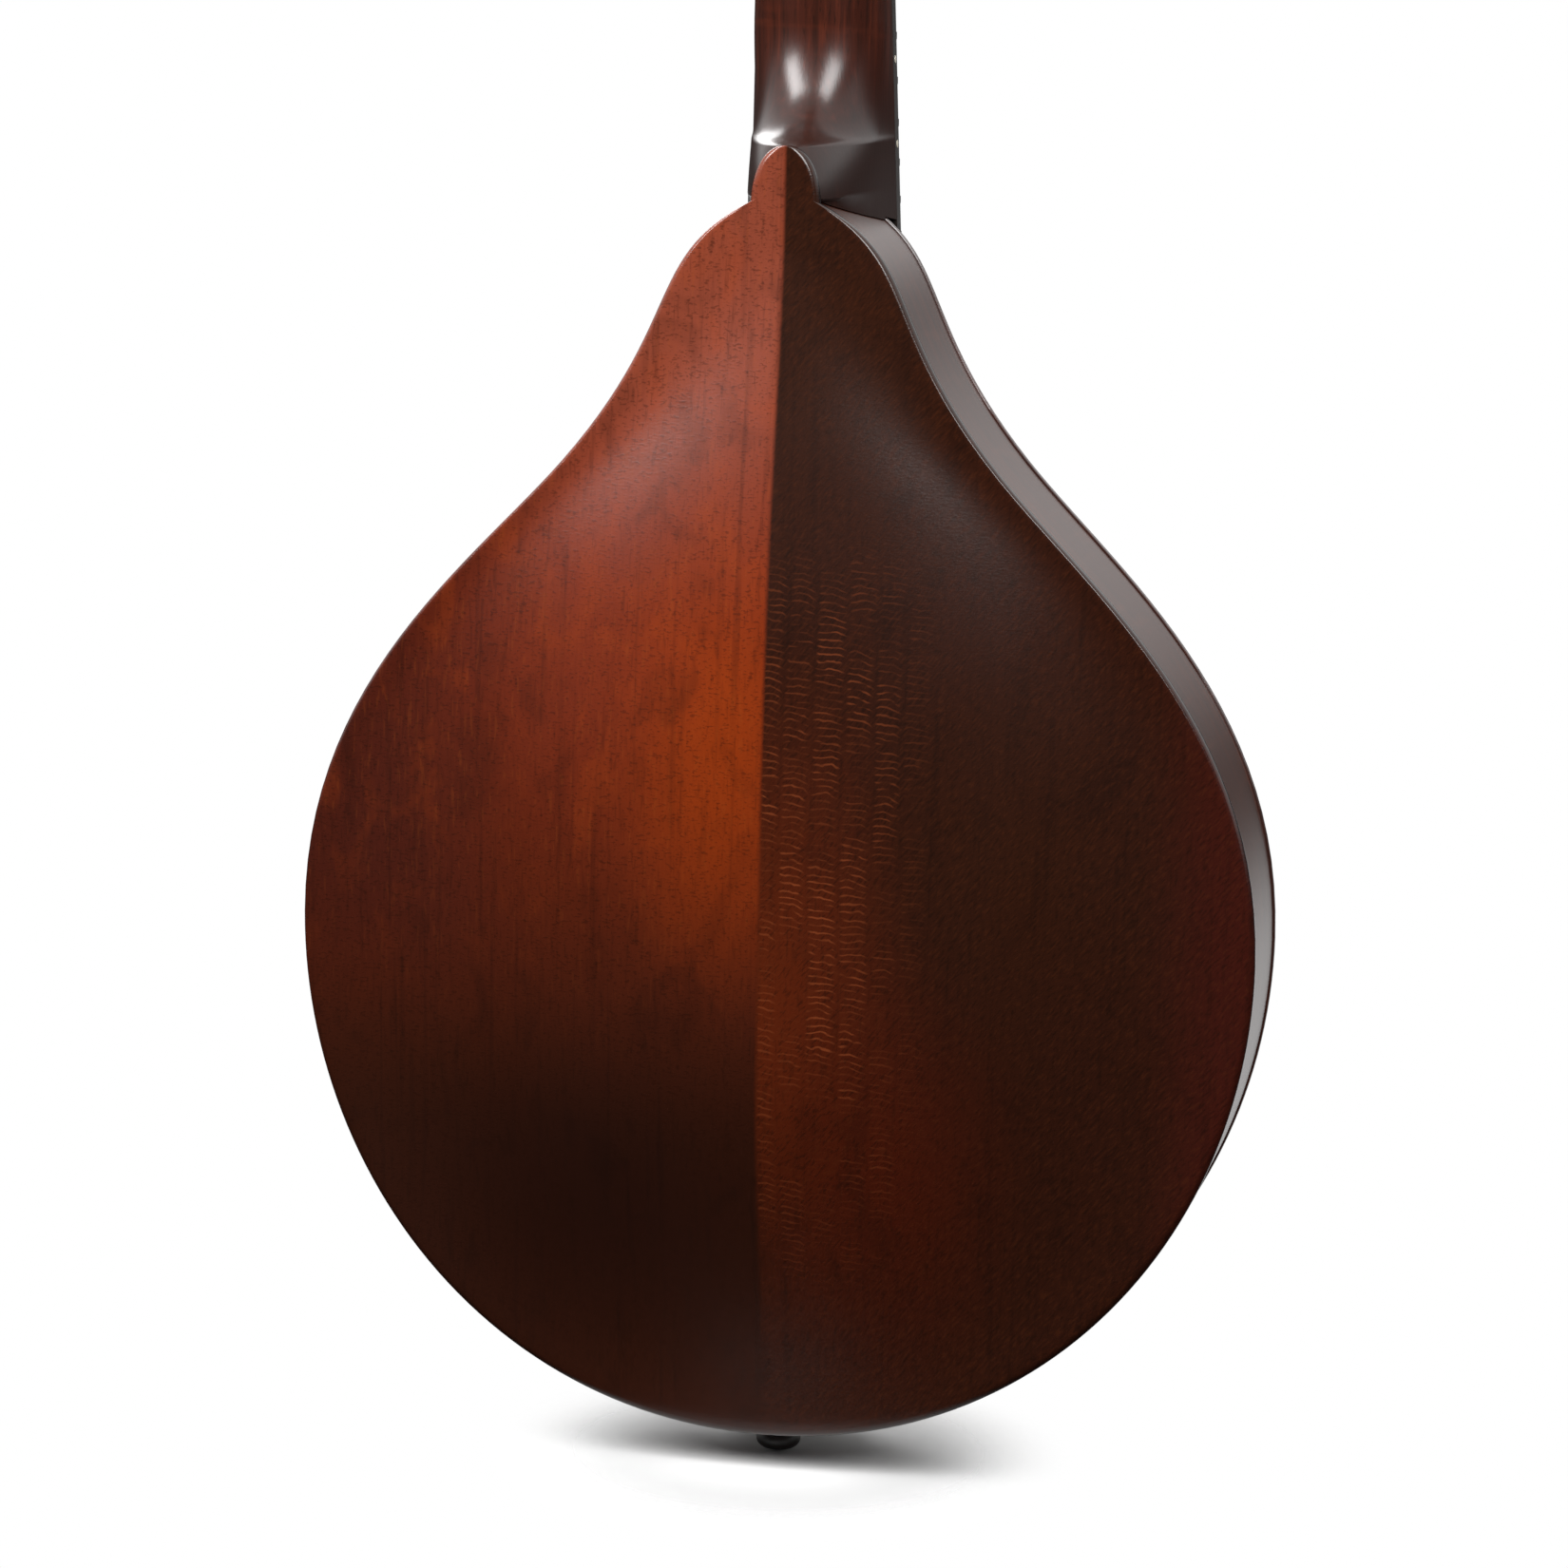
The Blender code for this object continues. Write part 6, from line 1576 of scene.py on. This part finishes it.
@dataclass
class Tailpiece:
    """Nickel tailpiece: bent base with hooks, screws, and a pressed slide-on cover."""

    half_width: float = 0.0175
    cover_sheet: float = 0.0010
    shell_length: float = 0.0560
    shell_height: float = 0.0068
    tail_share: float = 0.16
    lip_share: float = 0.07
    lip_bow: float = 0.0035
    end_power: float = 2.6
    side_power: float = 6.0
    crown_power: float = 3.2
    screw_at: Pair = (0.011, 0.0039)

    def cover(self) -> Thing:
        """Pressed cover: crowned across, rounded to the tail, with a curved lip towards the bridge."""
        half = self.half_width + 2 * FIT + self.cover_sheet
        back = -(TAIL_SHEET + 3 * FIT + self.cover_sheet)
        tall = TAIL_SHEET + self.shell_height
        rows = []
        for share in (step / 40 for step in range(41)):
            drop = max(1 - share / self.tail_share, 0.0)
            lip = max(share - (1 - self.lip_share), 0.0) / self.lip_share
            height = tall * (1 - drop ** self.end_power) ** (1 / self.end_power) * (1 - 0.10 * lip ** 2)
            pinch = half * (1 - 0.10 * drop ** 3) * (1 - 0.04 * max(share - 0.5, 0) * 2)
            row = []
            for angle in (math.pi * i / 48 for i in range(49)):
                c, s = math.cos(angle), math.sin(angle)
                x = pinch * math.copysign(abs(c) ** (2 / self.side_power), c)
                bow = self.lip_bow * lip * (1 - (x / half) ** 2)
                y = -height * max(s, 0.0) ** (2 / self.crown_power)
                row.append((x, y, back + self.shell_length * share - bow))
            rows.append(row)
        piece = Draft().rows(rows).build("pressed_cover", TAIL)
        face_outwards(piece, TAIL @ Vector((0, 0, 0.02)))
        shell = piece.modifiers.new("sheet", "SOLIDIFY")
        shell.thickness, shell.offset = self.cover_sheet * 0.8, -1
        return settle(piece)

    def build(self) -> None:
        """Build and dress the tailpiece."""
        soften("tailpiece_base", "hooked_base", 0.00025, NICKEL)
        dress(self.cover(), NICKEL, "tailpiece_cover", ["tailpiece_cover"], sharp=50.0)
        x, y = self.screw_at
        screw = Screw().build(1)
        screw.data.transform(spin(3 * QUARTER, "X"))
        scatter("tailpiece_screws", screw, [(-x, y, -TAIL_SHEET), (x, y, -TAIL_SHEET)], NICKEL,
                TAIL @ spin(-TAIL_ANGLE, "X"), seed=3)


def face_outwards(piece: Thing, inside: Vector) -> None:
    """Turn an open sheet's faces away from a point."""
    work = bmesh.new()
    work.from_mesh(piece.data)
    bmesh.ops.recalc_face_normals(work, faces=work.faces)
    outward = sum((f.calc_center_median() - inside).dot(f.normal) * f.calc_area() for f in work.faces)
    if outward < 0:
        bmesh.ops.reverse_faces(work, faces=work.faces)
    work.to_mesh(piece.data)
    work.free()


@dataclass
class Strings:
    """Eight strings in four pairs, with their loops at the hooks and turns round the posts."""

    nut_spacing: Pair = (0.00717, 0.0025)
    bridge_spacing: Pair = (0.0122, 0.0036)
    hook_spacing: float = 0.0040
    hook_at: float = 0.0160
    hook_radius: float = 0.00096
    slot_drop: float = 0.0010
    loop: tuple[Pair, ...] = ((0.0, 0.0045), (0.0011, 0.0014), (0.0011, -0.0010), (0.0, -0.0016),
                              (-0.0011, -0.0010), (-0.0011, 0.0014), (0.0, 0.0045))
    loop_radius: float = 0.0002
    bend: float = 0.0006
    turns: float = 3.2
    turn_steps: int = 20
    turn_rise: float = 2.05
    hook_rise: float = 2.2
    post_gap: float = 0.0001
    hook_share: float = 0.03

    @staticmethod
    def spread(number: int, spacing: Pair) -> float:
        """Place of a string across the neck."""
        course, member = divmod(number, 2)
        return (course - 1.5) * spacing[0] + (member - 0.5) * spacing[1]

    def string(self, number: int, r: float, bridge: Bridge, tuners: Tuners) -> None:
        """Draw a string in two lengths that meet on the saddle, its loop, and its turns on the post.

        Args:
            number: the string's number across the neck, bass first.
            r: its radius.
            bridge: the bridge that it crosses.
            tuners: the machines that hold it.
        """
        hand = Hand.BASS if number < 4 else Hand.TREBLE
        machine = number if number < 4 else 7 - number
        finish, tag = WOUND if number < 4 else STEEL, str(number + 1)
        hook_x, hook_y = (number - 3.5) * self.hook_spacing, -TAIL_SHEET - FIT - self.hook_rise * r
        hook = TAIL @ Vector((hook_x, hook_y, self.hook_at + self.hook_radius + FIT))
        saddle = BODY @ Vector((self.spread(number, self.bridge_spacing), bridge.string_y - r, bridge.saddle_z))
        nut_x, nut_y = self.spread(number, self.nut_spacing), -(2 * FIT + BOARD + self.slot_drop) - r
        nut = [NECK @ Vector((nut_x, nut_y, along)) for along in (NUT_TO_BODY, HEAD_START)]
        x, z = post_places(hand)[machine]
        waist = tuners.post_radius * tuners.post_waist + r + self.post_gap
        front = -(FIT + HEAD_PLATE + tuners.hole_proud)
        post = HEAD @ Vector((x - hand.value * waist, front, z))
        start = hook + (saddle - hook) * self.hook_share
        lower = wire("string_tail_" + tag, [start, saddle], r, self.bend, finish)
        upper = wire("string_run_" + tag, [saddle, *nut, post], r, 2 * self.bend, finish)
        for length in (lower, upper):
            dress(length, finish, None, ["string_" + tag])
        loop = [TAIL @ Vector((hook_x + a, hook_y, self.hook_at + b)) for a, b in self.loop]
        dress(wire("string_loop_" + tag, loop, min(r, self.loop_radius), self.bend, STEEL), STEEL)
        first, coil = math.pi if hand is Hand.TREBLE else 0.0, []
        for step in range(int(self.turns * self.turn_steps) + 1):
            share = step / self.turn_steps
            angle = first - 2 * math.pi * share * hand.value
            coil.append(HEAD @ Vector((x + waist * math.cos(angle), front + (self.turn_rise * share - 1.2) * r,
                                       z + waist * math.sin(angle))))
        dress(wire("string_turns_" + tag, coil, r, 0.0, finish), finish, "post_%s_%d" % (hand.tag, machine + 1))
        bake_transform(lower)
        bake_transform(upper)

    def build(self) -> None:
        """Draw all eight strings."""
        bridge, tuners = Bridge(), Tuners()
        for number, diameter in enumerate(STRING_DIAMETERS):
            self.string(number, diameter / 2, bridge, tuners)


@dataclass(frozen=True)
class Softbox:
    """A rectangular softbox: its place, what it aims at, its size and its power in watts."""

    name: str
    place: Point
    aim: Point
    size: Pair
    watts: float

    def build(self) -> None:
        """Hang the softbox."""
        data = bpy.data.lights.new(self.name, "AREA")
        data.shape, data.size, data.size_y, data.energy = "RECTANGLE", *self.size, self.watts
        direction = Vector(self.aim) - Vector(self.place)
        turn = direction.to_track_quat("-Z", "Y").to_matrix().to_4x4()
        put(self.name, data).matrix_world = Matrix.Translation(self.place) @ turn


@dataclass
class Studio:
    """Pale floor, soft light and a camera where the photograph's stood."""

    yaw: float = math.radians(11.868)
    pitch: float = math.radians(-9.712)
    roll: float = math.radians(-1.105)
    distance: float = 1.400
    shift: Pair = (-0.002963, -0.005408)
    fit_centre: Point = (0, 0.170, 0)
    focal_px: float = 5671.57
    picture_px: int = 1650
    sensor: float = 36.0
    dim_side: float = 0.02
    bright_side: float = 1.10
    above: tuple[Pair, Pair] = ((0.04, 0.18), (0.55, 0.05))
    below: tuple[Pair, Pair] = ((-0.04, -0.20), (-0.72, -0.92))
    floor_radius: float = 0.14
    floor_drop: float = 0.0006
    floor_depth: float = 0.002
    softboxes: tuple[tuple[str, float, float], ...] = (
        ("left_softbox", math.radians(-56.0), 50.0), ("right_softbox", math.radians(20.0), 38.0))
    softbox_size: Pair = (0.70, 1.15)
    light_height: float = math.radians(38.0)
    light_distance: float = 1.6
    aim: Point = (0.0, 0.0, 0.33)
    front: Softbox = Softbox("front_softbox", (0.5, -1.4, 1.1), (0.0, 0.0, 0.30), (0.9, 0.9), 14.0)

    def camera(self) -> None:
        """Place the camera from the fitted view, whose axes are image right, body height and depth."""
        turn = (spin(self.roll, "Z") @ spin(self.pitch, "X") @ spin(self.yaw, "Y")).to_3x3()
        eye = Vector(self.fit_centre) - turn.transposed() @ Vector((*self.shift, self.distance))

        def to_row(v: Vector) -> Vector:
            """Turn a direction of the fit into one of the part's frame."""
            return Vector((-v.x, -v.z, v.y))

        right, up, forward = (to_row(Vector(turn[i])) for i in range(3))
        data = bpy.data.cameras.new("photo_camera")
        data.sensor_width = self.sensor
        data.lens = self.sensor * self.focal_px / self.picture_px
        camera = put("photo_camera", data)
        place = Matrix.Translation(to_row(eye) + Vector((0, HALF_DEPTH, PIN_PROUD)))
        camera.matrix_world = place @ Matrix((right, up, -forward)).transposed().to_4x4()
        bpy.context.scene.camera = camera

    def world(self) -> None:
        """Pale surroundings, dim on the side of the camera and level with the part."""
        world = bpy.data.worlds.new("studio")
        bpy.context.scene.world = world
        world.use_nodes = True
        world.node_tree.nodes.clear()
        n = Nodes(world.node_tree)
        n.place = n.add("ShaderNodeTexCoord").outputs["Generated"]
        _, y, z = n.axes()
        above, below = (n.times(n.ramped(z, *tall), n.ramped(y, *deep))
                        for tall, deep in (self.above, self.below))
        dim = n.add("ShaderNodeMapRange", {
            "Value": n.math("ADD", above, below), "To Min": self.dim_side, "To Max": self.bright_side})
        seen = n.add("ShaderNodeLightPath").outputs["Is Camera Ray"]
        strength = n.add("ShaderNodeMix", {0: seen, 2: dim.outputs[0], 3: 1.0}, data_type="FLOAT")
        glow = n.add("ShaderNodeBackground", {0: linear("ffffff"), 1: strength.outputs[0]})
        n.add("ShaderNodeOutputWorld", {0: glow.outputs[0]})

    def floor(self) -> None:
        """Round pale floor under the strap pin."""
        wide, deep = self.floor_radius, -self.floor_depth
        disc = Draft().turned([(0.0, 0.0), (wide, 0.0), (wide, deep), (0.0, deep)], 96,
                              move(0, 0, -self.floor_drop)).build("studio_floor")
        disc.data.materials.append(FLOOR.material())

    def build(self) -> None:
        """Set up the whole studio."""
        bpy.context.scene.view_settings.view_transform = "Standard"
        self.camera()
        self.world()
        self.floor()
        rise = self.light_height
        for name, angle, watts in self.softboxes:
            turn = self.yaw + angle
            way = Vector((-math.sin(turn) * math.cos(rise), math.cos(turn) * math.cos(rise), math.sin(rise)))
            place = Vector(self.aim) + way * self.light_distance
            Softbox(name, place, self.aim, self.softbox_size, watts).build()
        self.front.build()


def main() -> None:
    """Build the studio and every sub-assembly."""
    logging.basicConfig(level=logging.INFO, format="%(name)s: %(message)s")
    for assembly in (Studio(), Plates(), Rim(), EndPin(), Neck(), Fingerboard(), Headstock(), Tuners(),
                     Bridge(), Tailpiece(), Strings()):
        LOG.info("building %s", type(assembly).__name__)
        assembly.build()


if __name__ == "__main__":
    main()
